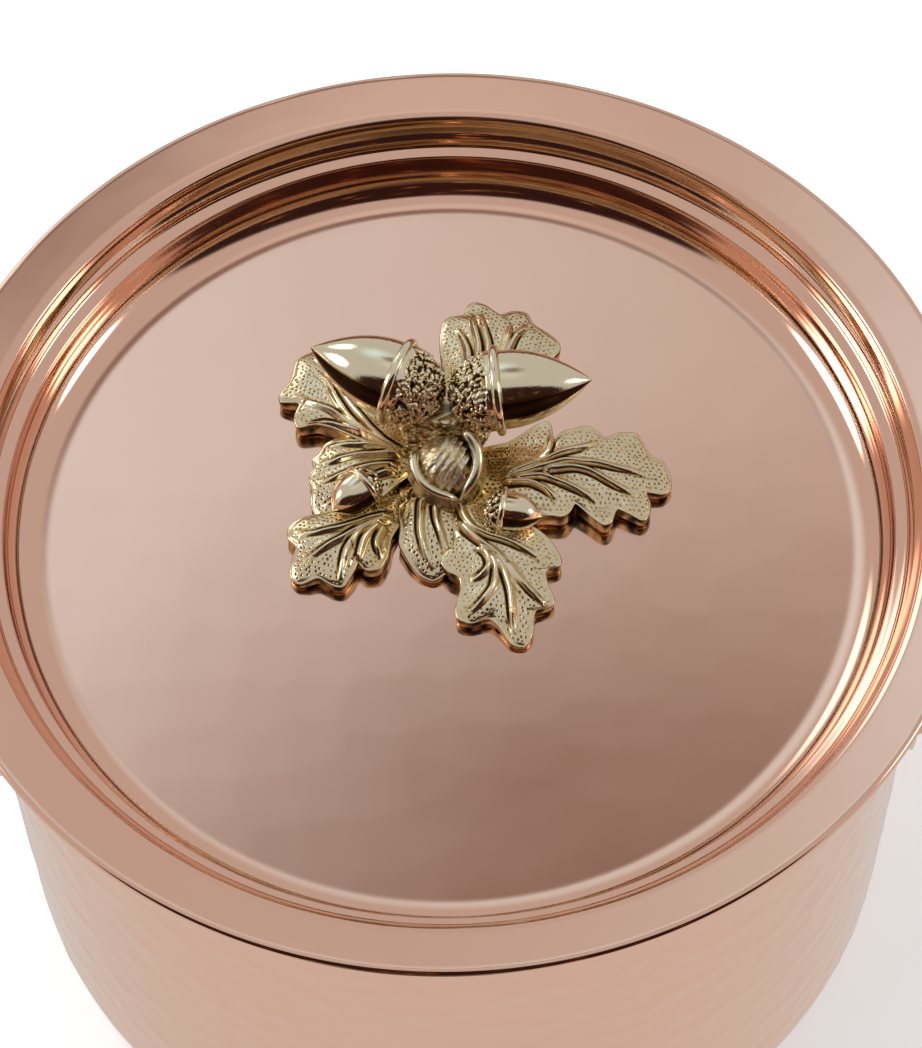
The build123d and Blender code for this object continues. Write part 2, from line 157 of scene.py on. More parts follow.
def patch(direction, stretch, reach, softness):
    """1 near a direction of the room and 0 away from it: a spot, narrowed or widened by stretch."""
    shape = put(paint, "ShaderNodeVectorMath", operation="MULTIPLY")
    shape.inputs[1].default_value = stretch
    paint.links.new(heading, shape.inputs[0])
    away = put(paint, "ShaderNodeVectorMath", operation="DISTANCE")
    away.inputs[1].default_value = [d * s for d, s in zip(direction, stretch)]
    paint.links.new(shape.outputs[0], away.inputs[0])
    return soft_step(paint, away.outputs["Value"], reach + softness, reach - softness)


def patched(walls, parts):
    """Lay parts of the room over the walls. Each has direction, stretch, reach, softness and colour."""
    for *place, colour in parts:
        walls = blend(paint, patch(*place), walls, colour)
    return walls


grey_wall = (0.56, 0.54, 0.53, 1)
pale_wall = (0.76, 0.92, 1.03, 1)
dim_wall = (0.27, 0.215, 0.20, 1)
overhead = (0.68, 0.67, 0.66, 1)
table_tone = (0.66, 0.63, 0.60, 1)
table_flag = (0.13, 0.10, 0.09, 1)
dark_room = (0.030, 0.012, 0.010, 1)
lamp_gold = (0.95, 0.42, 0.12, 1)
left_box = (5.5, 5.4, 5.2, 1)
back_box = (2.2, 2.2, 2.1, 1)
right_box = (4.0, 3.9, 3.8, 1)
white = (1, 1, 1, 1)

walls = patched(grey_wall, [
    ((-0.18, 0.56, 0.80), (1, 1, 1), 0.21, 0.20, pale_wall),
    ((0.06, 0.38, 0.93), (1.2, 1.6, 1), 0.20, 0.12, dim_wall),
    ((0.0, 0.10, 0.99), (0.6, 1, 1), 0.14, 0.10, overhead),
])
flags = []
for compass in (math.radians(25), math.radians(150), math.radians(262)):
    flag_at = (0.8 * math.cos(compass), 0.8 * math.sin(compass), -0.45)
    flags.append((flag_at, (1, 1, 0.45), 0.24, 0.14, table_flag))
below = patched(table_tone, flags)
walls = blend(paint, soft_step(paint, upward, 0.02, -0.10), walls, below)
specks = put(paint, "ShaderNodeTexNoise", Scale=9.0, Detail=2.0)
paint.links.new(heading, specks.inputs["Vector"])
room_colour = blend(paint, soft_step(paint, specks.outputs[0], 0.64, 0.76), dark_room, lamp_gold)
walls = patched(walls, [
    ((0, -0.90, 0.36), (0.5, 1, 0.9), 0.62, 0.05, room_colour),
    ((-0.92, 0.14, 0.36), (1, 0.9, 1.1), 0.18, 0.06, left_box),
    ((-0.52, 0.77, 0.38), (1, 1, 1), 0.17, 0.06, back_box),
    ((0.93, -0.05, 0.36), (1, 1, 1.3), 0.16, 0.04, right_box),
])
seen = put(paint, "ShaderNodeLightPath").outputs["Is Camera Ray"]
walls = blend(paint, seen, walls, white)
glow = put(paint, "ShaderNodeBackground")
paint.links.new(walls, glow.inputs["Color"])
paint.links.new(glow.outputs[0], put(paint, "ShaderNodeOutputWorld").inputs[0])
bpy.context.scene.view_settings.view_transform = "Standard"
print("world nodes:", len(paint.nodes))

# %% Lay a pale floor and hang one soft light
floor_half = 3.0
floor_mesh = bpy.data.meshes.new("studio_floor")
corners = [(-1, -1), (1, -1), (1, 1), (-1, 1)]
floor_mesh.from_pydata([(x * floor_half, y * floor_half, 0) for x, y in corners], [], [(0, 1, 2, 3)])
studio_floor = bpy.data.objects.new("studio_floor", floor_mesh)
bpy.context.scene.collection.objects.link(studio_floor)
floor_paint = bpy.data.materials.new("pale_floor")
floor_paint.use_nodes = True
shade = floor_paint.node_tree.nodes["Principled BSDF"]
shade.inputs["Base Color"].default_value = (0.86, 0.86, 0.86, 1)
shade.inputs["Roughness"].default_value = 0.9
shade.inputs["Emission Color"].default_value = white
shade.inputs["Emission Strength"].default_value = 0.45
floor_mesh.materials.append(floor_paint)
studio_floor.visible_glossy = False

soft_light = bpy.data.lights.new("soft_light", "AREA")
soft_light.shape, soft_light.size, soft_light.energy = "DISK", 0.5, 9.0
hung = bpy.data.objects.new("soft_light", soft_light)
bpy.context.scene.collection.objects.link(hung)
hung.location = (-0.7, 0.35, 1.1)
hung.visible_glossy = False
hung.rotation_euler = (Vector((0, 0, 0.1)) - hung.location).to_track_quat("-Z", "Y").to_euler()
print("stage ready")

# %% [markdown]
# ## Surfaces from arrays
# Every new piece is a grid of points that numpy works out as whole arrays. Its columns close on
# themselves. Its rows close too where the piece is a ring, and otherwise each end row is a single point,
# a pole. One function turns a grid into a mesh,
# and it also stores two values for each point. One darkens the colour: it is real tarnish in pits, grooves
# and folds, and painted shade at the leaves' roots, walls and undersides, inside the petals and on the base
# plate, and a painted reflection as a dark band on each nut. The other is how matt the casting skin or the
# sheet is there, where no polishing wheel comes.

# %% Turn a grid of points into a piece
def piece(name, grid, body, slot_name, node, hollow=None, matt=None, ring=False):
    """A mesh from grid[row, column, xyz] in mm that stands for a CAD node. Where the signed volume, the
    sum of each triangle's triple product over six, comes out negative, the faces are turned."""
    rows, columns = grid.shape[:2]
    index = np.arange(rows * columns).reshape(rows, columns)
    if ring:
        index = np.vstack([index, index[:1]])
    else:
        index[0], index[-1] = index[0, 0], index[-1, 0]
    here, beside = index, np.roll(index, -1, axis=1)
    quads = np.stack([here[:-1], beside[:-1], beside[1:], here[1:]], axis=-1).reshape(-1, 4)
    flat_start, flat_end = quads[:, 0] == quads[:, 1], quads[:, 2] == quads[:, 3]
    faces = [quads[~flat_start & ~flat_end], quads[flat_start][:, 1:], quads[flat_end & ~flat_start][:, :3]]
    points = grid.reshape(-1, 3)
    corners = np.vstack([faces[0][:, :3], faces[0][:, [0, 2, 3]], faces[1], faces[2]])
    a, b, c = (points[corners[:, i]] for i in range(3))
    if np.einsum("ij,ij->", a, np.cross(b, c)) < 0:
        faces = [f[:, ::-1] for f in faces]
    used = np.unique(np.concatenate([f.ravel() for f in faces]))
    renumber = np.zeros(len(points), int)
    renumber[used] = np.arange(len(used))
    mesh = bpy.data.meshes.new(name)
    mesh.from_pydata((points[used] * MM).tolist(), [], [f for part in faces for f in renumber[part].tolist()])
    mesh.shade_smooth()
    for label, values in (("hollow", hollow), ("matt", matt)):
        if values is not None:
            values = (values + 0 * grid[..., 0]).reshape(-1)[used].astype(np.float32)
            mesh.attributes.new(label, "FLOAT", "POINT").data.foreach_set("value", values)
    made = bpy.data.objects.new(name, mesh)
    bpy.context.scene.collection.objects.link(made)
    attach(made, body)
    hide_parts(node)
    made.data.materials.append(finishes[slot_name])
    print(name, "has", len(mesh.polygons), "faces")
    return made


def bent_line(corners, bends, step):
    """Straight runs joined by arcs that touch both runs. The points on a run are a step apart."""
    corners = np.array(corners, float)
    line = [corners[:1]]
    for before, corner, after, bend in zip(corners, corners[1:], corners[2:], bends):
        into = (corner - before) / np.linalg.norm(corner - before)
        out = (after - corner) / np.linalg.norm(after - corner)
        angle = math.acos(np.clip(into @ out, -1, 1))
        reach = bend * math.tan(angle / 2)
        start, end = corner - into * reach, corner + out * reach
        centre = corner + (out - into) / np.linalg.norm(out - into) * bend / math.cos(angle / 2)
        share = np.linspace(0, 1, max(4, int(angle / 0.14)))[:, None]
        arc = (np.sin((1 - share) * angle) * (start - centre) + np.sin(share * angle) * (end - centre))
        line += [straight(line[-1][-1], start, step), centre + arc / math.sin(angle)]
    line.append(straight(line[-1][-1], corners[-1], step))
    line.append(corners[-1:])
    return np.vstack(line)


def straight(start, end, step):
    """Points between start and end, about a step apart, without both ends."""
    count = max(1, round(float(np.linalg.norm(end - start)) / step))
    return start + (end - start) * np.arange(1, count)[:, None] / count


def normals_of(line):
    """The unit normals on the left of a line of (radius, height) points."""
    way = np.gradient(line, axis=0)
    return np.stack([-way[:, 1], way[:, 0]], 1) / np.linalg.norm(way, axis=1)[:, None]


def arc(middle, radius, start, end, count):
    """Points on a circle of a profile's plane, from one angle to another in degrees."""
    angle = np.radians(np.linspace(start, end, count))
    return np.array(middle) + radius * np.stack([np.cos(angle), np.sin(angle)], 1)


def full_turn(count):
    """The angles of a closed row of points, in radians."""
    return np.linspace(0, 2 * np.pi, count, endpoint=False)


def capped(grid):
    """The grid with a row more at each end, shrunk to the middle of the end row: its poles."""
    first, last = (0 * row + row.mean(axis=1, keepdims=True) for row in (grid[:1], grid[-1:]))
    return np.concatenate([first, grid, last])


def turned(line, count, push=None):
    """A surface of revolution about Z. Every (radius, height) point goes round, and push moves it along
    its normal."""
    angle = full_turn(count)
    radius, height = line[:, :1] + 0 * angle, line[:, 1:] + 0 * angle
    if push is not None:
        normal = normals_of(line)
        radius, height = radius + normal[:, :1] * push, height + normal[:, 1:] * push
    return np.stack([radius * np.cos(angle), radius * np.sin(angle), height], axis=-1)


# %% Patterns worked out on arrays
def scatter(*whole_numbers):
    """Repeatable scatter between 0 and 1 for whole numbers: the loose end of a large sine."""
    mixed = sum(n * k for n, k in zip(whole_numbers, (127.1, 311.7, 74.7, 41.3)))
    return np.modf(np.abs(np.sin(mixed) * 43758.5453))[0]


def blows(across, along, size, seed, around=None):
    """Hammer marks: 0 in the middle of each blow, rising with the squared distance from the nearest one,
    softened where two blows meet. Around is the number of marks after which the pattern repeats."""
    across, along = across / size, along / size
    column, row = np.floor(across), np.floor(along)
    total = 0
    for step_across in (-1, 0, 1):
        for step_along in (-1, 0, 1):
            c, r = column + step_across, row + step_along
            key = c % around if around else c
            middle_across = c + 0.5 + 0.7 * (scatter(key, r, seed) - 0.5)
            middle_along = r + 0.5 + 0.7 * (scatter(key, r, seed + 9) - 0.5)
            total = total + np.exp(-14 * ((across - middle_across) ** 2 + (along - middle_along) ** 2))
    return -np.log(total) / 14


def cells(points, size, seed):
    """Pebbles: the distance from each point in space to the nearest of a scattered set, in sizes."""
    place = points / size
    corner = np.floor(place)
    nearest = np.full(points.shape[:-1], 9.0)
    for i in range(27):
        cell = corner + np.array([i % 3, i // 3 % 3, i // 9]) - 1
        key = [cell[..., k] for k in range(3)]
        middle = cell + 0.5 + 0.8 * (np.stack([scatter(*key, seed + k) for k in range(3)], -1) - 0.5)
        nearest = np.minimum(nearest, np.linalg.norm(place - middle, axis=-1))
    return nearest


def drift(points, size, seed):
    """Slow noise from -1 to 1: random values at whole places, joined smoothly."""
    place = points / size
    corner = np.floor(place)
    share = place - corner
    share = share * share * (3 - 2 * share)
    total = 0
    for i in range(8):
        step = np.array([i % 2, i // 2 % 2, i // 4])
        weight = np.prod(np.where(step, share, 1 - share), axis=-1)
        cell = corner + step
        total = total + weight * scatter(*[cell[..., k] for k in range(3)], seed)
    return 2 * total - 1


# %% [markdown]
# ## Finishes
# Copper here is polished bright over faint hammer marks, with the fine scratches of a polishing wheel.
# The finial is pale bronze: its heights are polished and its pits have kept their dark tarnish.
# The same dark colours are painted as shade under and inside its parts, and as a dark reflection on the nuts.
# The scratches and the tarnish with its painted shade are node groups, because several metals share them.

# %% Shared effects
def effect(name, inputs, outputs):
    """An empty node group with named inputs (and their values) and outputs."""
    tree = bpy.data.node_groups.new(name, "ShaderNodeTree")
    for label, value in inputs.items():
        kind = "NodeSocketColor" if isinstance(value, tuple) else "NodeSocketFloat"
        tree.interface.new_socket(name=label, in_out="INPUT", socket_type=kind).default_value = value
    for label, kind in outputs.items():
        tree.interface.new_socket(name=label, in_out="OUTPUT", socket_type=kind)
    return tree, tree.nodes.new("NodeGroupInput").outputs, tree.nodes.new("NodeGroupOutput").inputs


def noise(tree, scale, stretch=(1, 1, 1), detail=3.0):
    """Noise on Object coordinates, drawn out along the axes where stretch is small."""
    place = put(tree, "ShaderNodeTexCoord").outputs["Object"]
    mapping = put(tree, "ShaderNodeMapping", Scale=stretch)
    texture = put(tree, "ShaderNodeTexNoise", Detail=detail)
    tree.links.new(place, mapping.inputs["Vector"])
    tree.links.new(mapping.outputs[0], texture.inputs["Vector"])
    if isinstance(scale, (int, float)):
        texture.inputs["Scale"].default_value = scale
    else:
        tree.links.new(scale, texture.inputs["Scale"])
    return texture.outputs[0]


scratches, given, result = effect(
    "wheel_scratches",
    {"Scale": 260.0, "Roughness Low": 0.08, "Roughness High": 0.2},
    {"Height": "NodeSocketFloat", "Roughness": "NodeSocketFloat"},
)
fine_one = noise(scratches, given["Scale"], (1, 0.06, 1))
fine_two = noise(scratches, given["Scale"], (0.07, 1, 0.3))
fine = maths(scratches, "MAXIMUM", fine_one, fine_two)
scratches.links.new(fine, result["Height"])
cloud = noise(scratches, 14.0, detail=4.0)
spread = maths(scratches, "SUBTRACT", given["Roughness High"], given["Roughness Low"])
wear = maths(scratches, "MULTIPLY", spread, soft_step(scratches, cloud, 0.35, 0.7))
scratches.links.new(maths(scratches, "ADD", wear, given["Roughness Low"]), result["Roughness"])

# Colour from the stored darkening value: dark tarnish in pits and grooves, and painted shade where a piece
# stores shade.
patina_shade_nodes, given, result = effect(
    "hollow_tarnish",
    {"Bright": (0.8, 0.7, 0.5, 1), "Warm": (0.6, 0.4, 0.15, 1), "Dark": (0.08, 0.05, 0.03, 1)},
    {"Color": "NodeSocketColor", "Mask": "NodeSocketFloat"},
)
depth = put(patina_shade_nodes, "ShaderNodeAttribute", attribute_name="hollow").outputs["Fac"]
rough_depth = maths(patina_shade_nodes, "ADD", depth, maths(patina_shade_nodes, "MULTIPLY", noise(patina_shade_nodes, 900.0), 0.3))
warm_share = soft_step(patina_shade_nodes, rough_depth, 0.22, 0.6)
dark_share = soft_step(patina_shade_nodes, rough_depth, 0.55, 1.0)
tint = blend(patina_shade_nodes, warm_share, given["Bright"], given["Warm"])
tint = blend(patina_shade_nodes, dark_share, tint, given["Dark"])
patina_shade_nodes.links.new(tint, result["Color"])
patina_shade_nodes.links.new(dark_share, result["Mask"])


# %% One finish for every slot of the record
def metal(name, colour, other, low, high, scale, bump):
    """A polished metal: two tints in slow clouds, wheel scratches in its roughness and its bump."""
    finish = bpy.data.materials.new(name)
    finish.use_nodes = True
    tree = finish.node_tree
    shade = tree.nodes["Principled BSDF"]
    shade.inputs["Metallic"].default_value = 1.0
    group = put(tree, "ShaderNodeGroup", node_tree=scratches)
    group.inputs["Scale"].default_value = scale
    group.inputs["Roughness Low"].default_value = low
    group.inputs["Roughness High"].default_value = high
    tree.links.new(group.outputs["Roughness"], shade.inputs["Roughness"])
    tree.links.new(blend(tree, noise(tree, 20.0), colour, other), shade.inputs["Base Color"])
    relief = put(tree, "ShaderNodeBump", Strength=bump, Distance=0.0002)
    tree.links.new(group.outputs["Height"], relief.inputs["Height"])
    tree.links.new(relief.outputs[0], shade.inputs["Normal"])
    return finish


satin_roughness = 0.34


def antique(name, bright, warm, dark, low, high):
    """Cast bronze: polished on its heights, dark and dull where the stored darkening value is large, which is
    real patina in pits and painted shade under and inside parts, and satin where the matt value is, as on the
    skin of a casting."""
    finish = bpy.data.materials.new(name)
    finish.use_nodes = True
    tree = finish.node_tree
    shade = tree.nodes["Principled BSDF"]
    shade.inputs["Metallic"].default_value = 1.0
    group = put(tree, "ShaderNodeGroup", node_tree=patina_shade_nodes)
    for label, value in (("Bright", bright), ("Warm", warm), ("Dark", dark)):
        group.inputs[label].default_value = value
    tree.links.new(group.outputs["Color"], shade.inputs["Base Color"])
    dull = put(tree, "ShaderNodeMapRange", To_Min=low, To_Max=high)
    tree.links.new(group.outputs["Mask"], dull.inputs["Value"])
    satin = put(tree, "ShaderNodeAttribute", attribute_name="matt").outputs["Fac"]
    satin = maths(tree, "MULTIPLY", satin, satin_roughness)
    tree.links.new(maths(tree, "ADD", dull.outputs[0], satin), shade.inputs["Roughness"])
    relief = put(tree, "ShaderNodeBump", Strength=0.12, Distance=0.0002)
    tree.links.new(noise(tree, 1500.0), relief.inputs["Height"])
    tree.links.new(relief.outputs[0], shade.inputs["Normal"])
    return finish


finishes = {
    "copper": metal(
        "polished_copper", (0.93, 0.60, 0.46, 1), (0.90, 0.56, 0.42, 1), 0.07, 0.14, 300.0, 0.02
    ),
    "tin": metal("wiped_tin", (0.74, 0.73, 0.70, 1), (0.66, 0.65, 0.63, 1), 0.25, 0.42, 120.0, 0.15),
    "rivet_copper": metal(
        "rivet_copper", (0.90, 0.56, 0.43, 1), (0.85, 0.50, 0.37, 1), 0.16, 0.28, 300.0, 0.05
    ),
    "steel": metal("plain_steel", (0.60, 0.60, 0.60, 1), (0.52, 0.52, 0.52, 1), 0.25, 0.35, 400.0, 0.05),
    "bronze": antique(
        "cast_bronze", (0.84, 0.70, 0.44, 1), (0.60, 0.42, 0.18, 1), (0.10, 0.06, 0.03, 1), 0.14, 0.5
    ),
    "finial_bronze": antique(
        "finial_bronze", (0.87, 0.78, 0.57, 1), (0.66, 0.46, 0.19, 1), (0.035, 0.018, 0.008, 1), 0.10, 0.34
    ),
}
for node_name, slot_name in ((s["node"], s["material_slot"]) for s in frame["record"]["subparts"]):
    for material_place in frame["nodes"][node_name].material_slots:
        material_place.material = finishes[slot_name]
print("finishes:", ", ".join(sorted(finishes)))

# %% [markdown]
# ## Lid
# The lid is spun from one sheet: a rolled edge, a wide flange, a slope, a narrow ledge, a wall and a
# sunken floor that meets the wall in a wide bend. Its outline is one bent line carried round the axis.
# Hammer marks, a few hundredths of a millimetre deep, push the top side along its own normal, so that
# reflections waver as they should. So do two small ribs on the slope, which draw thin bright lines.

# %% Spin the lid
lid_sheet, tin_coat = 1.5, 0.3
ledge_inner, ledge_outer, shoulder, flange_end = 111.2, 114.1, 118.2, 129.6
edge_bead, screw_hole = 1.4, 3.25
well_lean, wall_top, ledge_top, slope_top = 0.3, 12.4, 13.7, 21.8
lid_corners = [
    (screw_hole, lid_floor),
    (ledge_inner - well_lean, lid_floor),
    (ledge_inner, lid_floor + wall_top),
    (ledge_outer, lid_floor + ledge_top),
    (shoulder, lid_floor + slope_top),
    (flange_end, lid_top),
]
lid_bends = [9.5, 0.9, 2.0, 2.6]
top_side = bent_line(lid_corners, lid_bends, 0.8)


def offset_line(corners, bends, distance):
    """The bent line moved to its left by distance, its corners mitred and its bends grown or shrunk."""
    corners = np.array(corners, float)
    way = np.diff(corners, axis=0)
    way /= np.linalg.norm(way, axis=1)[:, None]
    left = np.stack([-way[:, 1], way[:, 0]], 1)
    inner = corners[1:-1] + (left[:-1] + left[1:]) * distance / (1 + np.sum(left[:-1] * left[1:], 1))[:, None]
    turn = np.sign(way[:-1, 0] * way[1:, 1] - way[:-1, 1] * way[1:, 0])
    moved = np.vstack([corners[:1] + left[:1] * distance, inner, corners[-1:] + left[-1:] * distance])
    return moved, np.maximum(np.array(bends) - turn * distance, 0.2)


bead = arc((flange_end, lid_top - edge_bead), edge_bead, 84, -150, 22)
under_corners, under_bends = offset_line(lid_corners, lid_bends, -lid_sheet)
under_side = bent_line(under_corners, under_bends, 3.0)[::-1]
under_side = under_side[under_side[:, 0] < flange_end - edge_bead]
lid_line = np.vstack([top_side, bead, under_side])

around = 376
angle = full_turn(around)
on_top = len(top_side)
radius = top_side[:, :1]
flat_x, flat_y = radius * np.cos(angle), radius * np.sin(angle)
waves = drift(np.dstack([flat_x, flat_y, 0 * flat_x]), 19.0, 4)
flat_marks = 0.6 * blows(flat_x, flat_y, 13.0, 3) + 0.35 * waves
way_along = np.concatenate([[0], np.cumsum(np.linalg.norm(np.diff(top_side, axis=0), axis=1))])[:, None]
ring_marks = blows(angle * 46 / (2 * np.pi) + 0 * way_along, way_along / 15.0 + 0 * angle, 1.0, 8, around=46)
outer_share = np.clip((radius - 104) / 5, 0, 1)
marks = 0.045 * flat_marks * (1 - outer_share) + 0.055 * ring_marks * outer_share
ribs, rib_height, rib_width = 0, 0.34, 0.75
lower_rib = (ledge_outer + 0.9, lid_floor + ledge_top + 1.9)
upper_rib = (shoulder - 0.6, lid_floor + slope_top - 1.2)
for rib_at in (lower_rib, upper_rib):
    from_rib = (top_side - np.array(rib_at)) / rib_width
    ribs = ribs + rib_height * np.exp(-np.sum(from_rib**2, axis=1))[:, None]
push = np.zeros((len(lid_line), around))
push[:on_top] = marks - marks.mean() + ribs
piece("lid_copper", turned(lid_line, around, push), "lid", "copper", "lid_pan", ring=True)

tin_corners, tin_bends = offset_line(lid_corners, lid_bends, -lid_sheet - tin_coat)
tin_line = bent_line(tin_corners, tin_bends, 4.0)
tin_line = tin_line[tin_line[:, 0] < flange_end - edge_bead - 0.4]
back_line = under_side[::-1][under_side[::-1][:, 0] < flange_end - edge_bead - 0.4]
tin_profile = np.vstack([tin_line, back_line[::-1]])
piece("lid_tin", turned(tin_profile, 240), "lid", "tin", "lid_tin_lining", ring=True)

# %% [markdown]
# ## Pot
# The body under the lid is one hammered sheet with a flat base, a rounded bend and a flared, beaded lip.
# The photograph does not show it. Its marks are deeper than the lid's, as on a planished stockpot,
# and fade out towards the base and the lip.

# %% Raise the pot and tin it
mouth_radius, copper_wall, base_bend = 120.0, 2.0, 14.0
lip_height, lip_rise, lip_flare, lip_bend, lip_bead = 166.0, 6.0, 3.6, 6.0, 1.6
pot_radius = mouth_radius + copper_wall
pot_corners = [
    (0, copper_wall),
    (mouth_radius, copper_wall),
    (mouth_radius, lip_height - lip_rise),
    (mouth_radius + lip_flare, lip_height),
]
pot_bends = [base_bend, lip_bend]
inside = bent_line(pot_corners, pot_bends, 5.0)
outer_corners, outer_bends = offset_line(pot_corners, pot_bends, -copper_wall)
outside = bent_line(outer_corners, outer_bends, 1.45)
base_part = outside[:, 0] < 95
outside = np.vstack([outside[base_part][::6], outside[~base_part]])
lip_ring = arc((mouth_radius + lip_flare + copper_wall / 2, lip_height), lip_bead, -110, 168, 20)
outside = outside[outside[:, 1] < lip_height - 1.2]
inside = inside[inside[:, 1] < lip_height - 0.6]
pot_line = np.vstack([outside, lip_ring, inside[::-1]])

around = 460
angle = full_turn(around)
height = outside[:, 1:]
wall_marks = blows(angle * 84 / (2 * np.pi) + 0 * height, height / 9.0 + 0 * angle, 1.0, 5, around=84)
fade = np.clip((height - 6) / 12, 0, 1) * np.clip((lip_height - 10 - height) / 6, 0, 1)
push = np.zeros((len(pot_line), around))
push[: len(outside)] = -0.42 * (wall_marks - 0.1) * fade
piece("pot_copper", turned(pot_line, around, push), "pot", "copper", "pot_wall")

coat_corners, coat_bends = offset_line(pot_corners, pot_bends, tin_coat)
coat = bent_line(coat_corners, coat_bends, 4.0)
coat = coat[coat[:, 1] < lip_height - 1.4]
seat = inside[inside[:, 1] < lip_height - 1.4]
around = 240
tin_push = np.zeros((len(coat) + len(seat), around))
angle = full_turn(around)
height = coat[:, 1:]
wipes = blows(angle * 60 / (2 * np.pi) + 0 * height, height / 12.0 + 0 * angle, 1.0, 2, around=60)
tin_push[: len(coat)] = -0.05 * wipes * np.clip((height - 12) / 12, 0, 1)
coat_profile = np.vstack([coat, seat[::-1]])
piece("pot_tin", turned(coat_profile, around, tin_push), "pot", "tin", "pot_tin_lining")

# %% [markdown]
# ## Oak leaves
# A leaf is a grid of two parameters. The first runs along the outline from the root to the tip, on both
# sides at once. The second runs from the middle line out to the outline. On this grid the veins are
# drawn as curves in the leaf's own plane: each is a smooth ridge, and on its right a narrow groove,
# which mirrors the dark of the room. Veins leave the root nearly side by side and part in long bends.
# Punched dots lie in loose rows and keep clear of veins and edges.

# %% Shape an oak leaf
crown_place = 0.3
dot_spacing, dot_radius, dot_depth = 1.36, 0.25, 0.20
leaf_matt = 0.28


def rounded(points, softness):
    """The outline as points 0.1 mm apart, each the bell-shaped average of its neighbours. Ends stay put."""
    points = np.array(points, float)
    run = np.concatenate([[0], np.cumsum(np.linalg.norm(np.diff(points, axis=0), axis=1))])
    step = 0.1
    fine = np.arange(0, run[-1], step)
    line = np.stack([np.interp(fine, run, points[:, k]) for k in range(2)], 1)
    reach = int(3 * softness / step)
    bell = np.exp(-0.5 * (np.arange(-reach, reach + 1) * step / softness) ** 2)
    bell /= bell.sum()
    longer = np.vstack([2 * line[0] - line[reach:0:-1], line, 2 * line[-1] - line[-2 : -reach - 2 : -1]])
    return np.stack([np.convolve(longer[:, k], bell, "valid") for k in range(2)], 1)


def evenly(line, count):
    """The line again with count points, evenly spaced along it."""
    run = np.concatenate([[0], np.cumsum(np.linalg.norm(np.diff(line, axis=0), axis=1))])
    return np.stack([np.interp(np.linspace(0, run[-1], count), run, line[:, k]) for k in range(2)], 1)


def beside(flat, line):
    """For each point: its distance from the line, positive on its left, and the way along it, 0 to 1."""
    nearest = np.full(flat.shape[:2], 99.0)
    signed, share = np.zeros(flat.shape[:2]), np.zeros(flat.shape[:2])
    for k, (start, end) in enumerate(zip(line, line[1:])):
        way = end - start
        off = flat - start
        along = np.clip((off @ way) / (way @ way), 0, 1)
        away = np.linalg.norm(off - along[..., None] * way, axis=2)
        closer = away < nearest
        nearest = np.where(closer, away, nearest)
        signed = np.where(closer, away * np.sign(way[0] * off[..., 1] - way[1] * off[..., 0]), signed)
        share = np.where(closer, (k + along) / (len(line) - 1), share)
    return signed, share


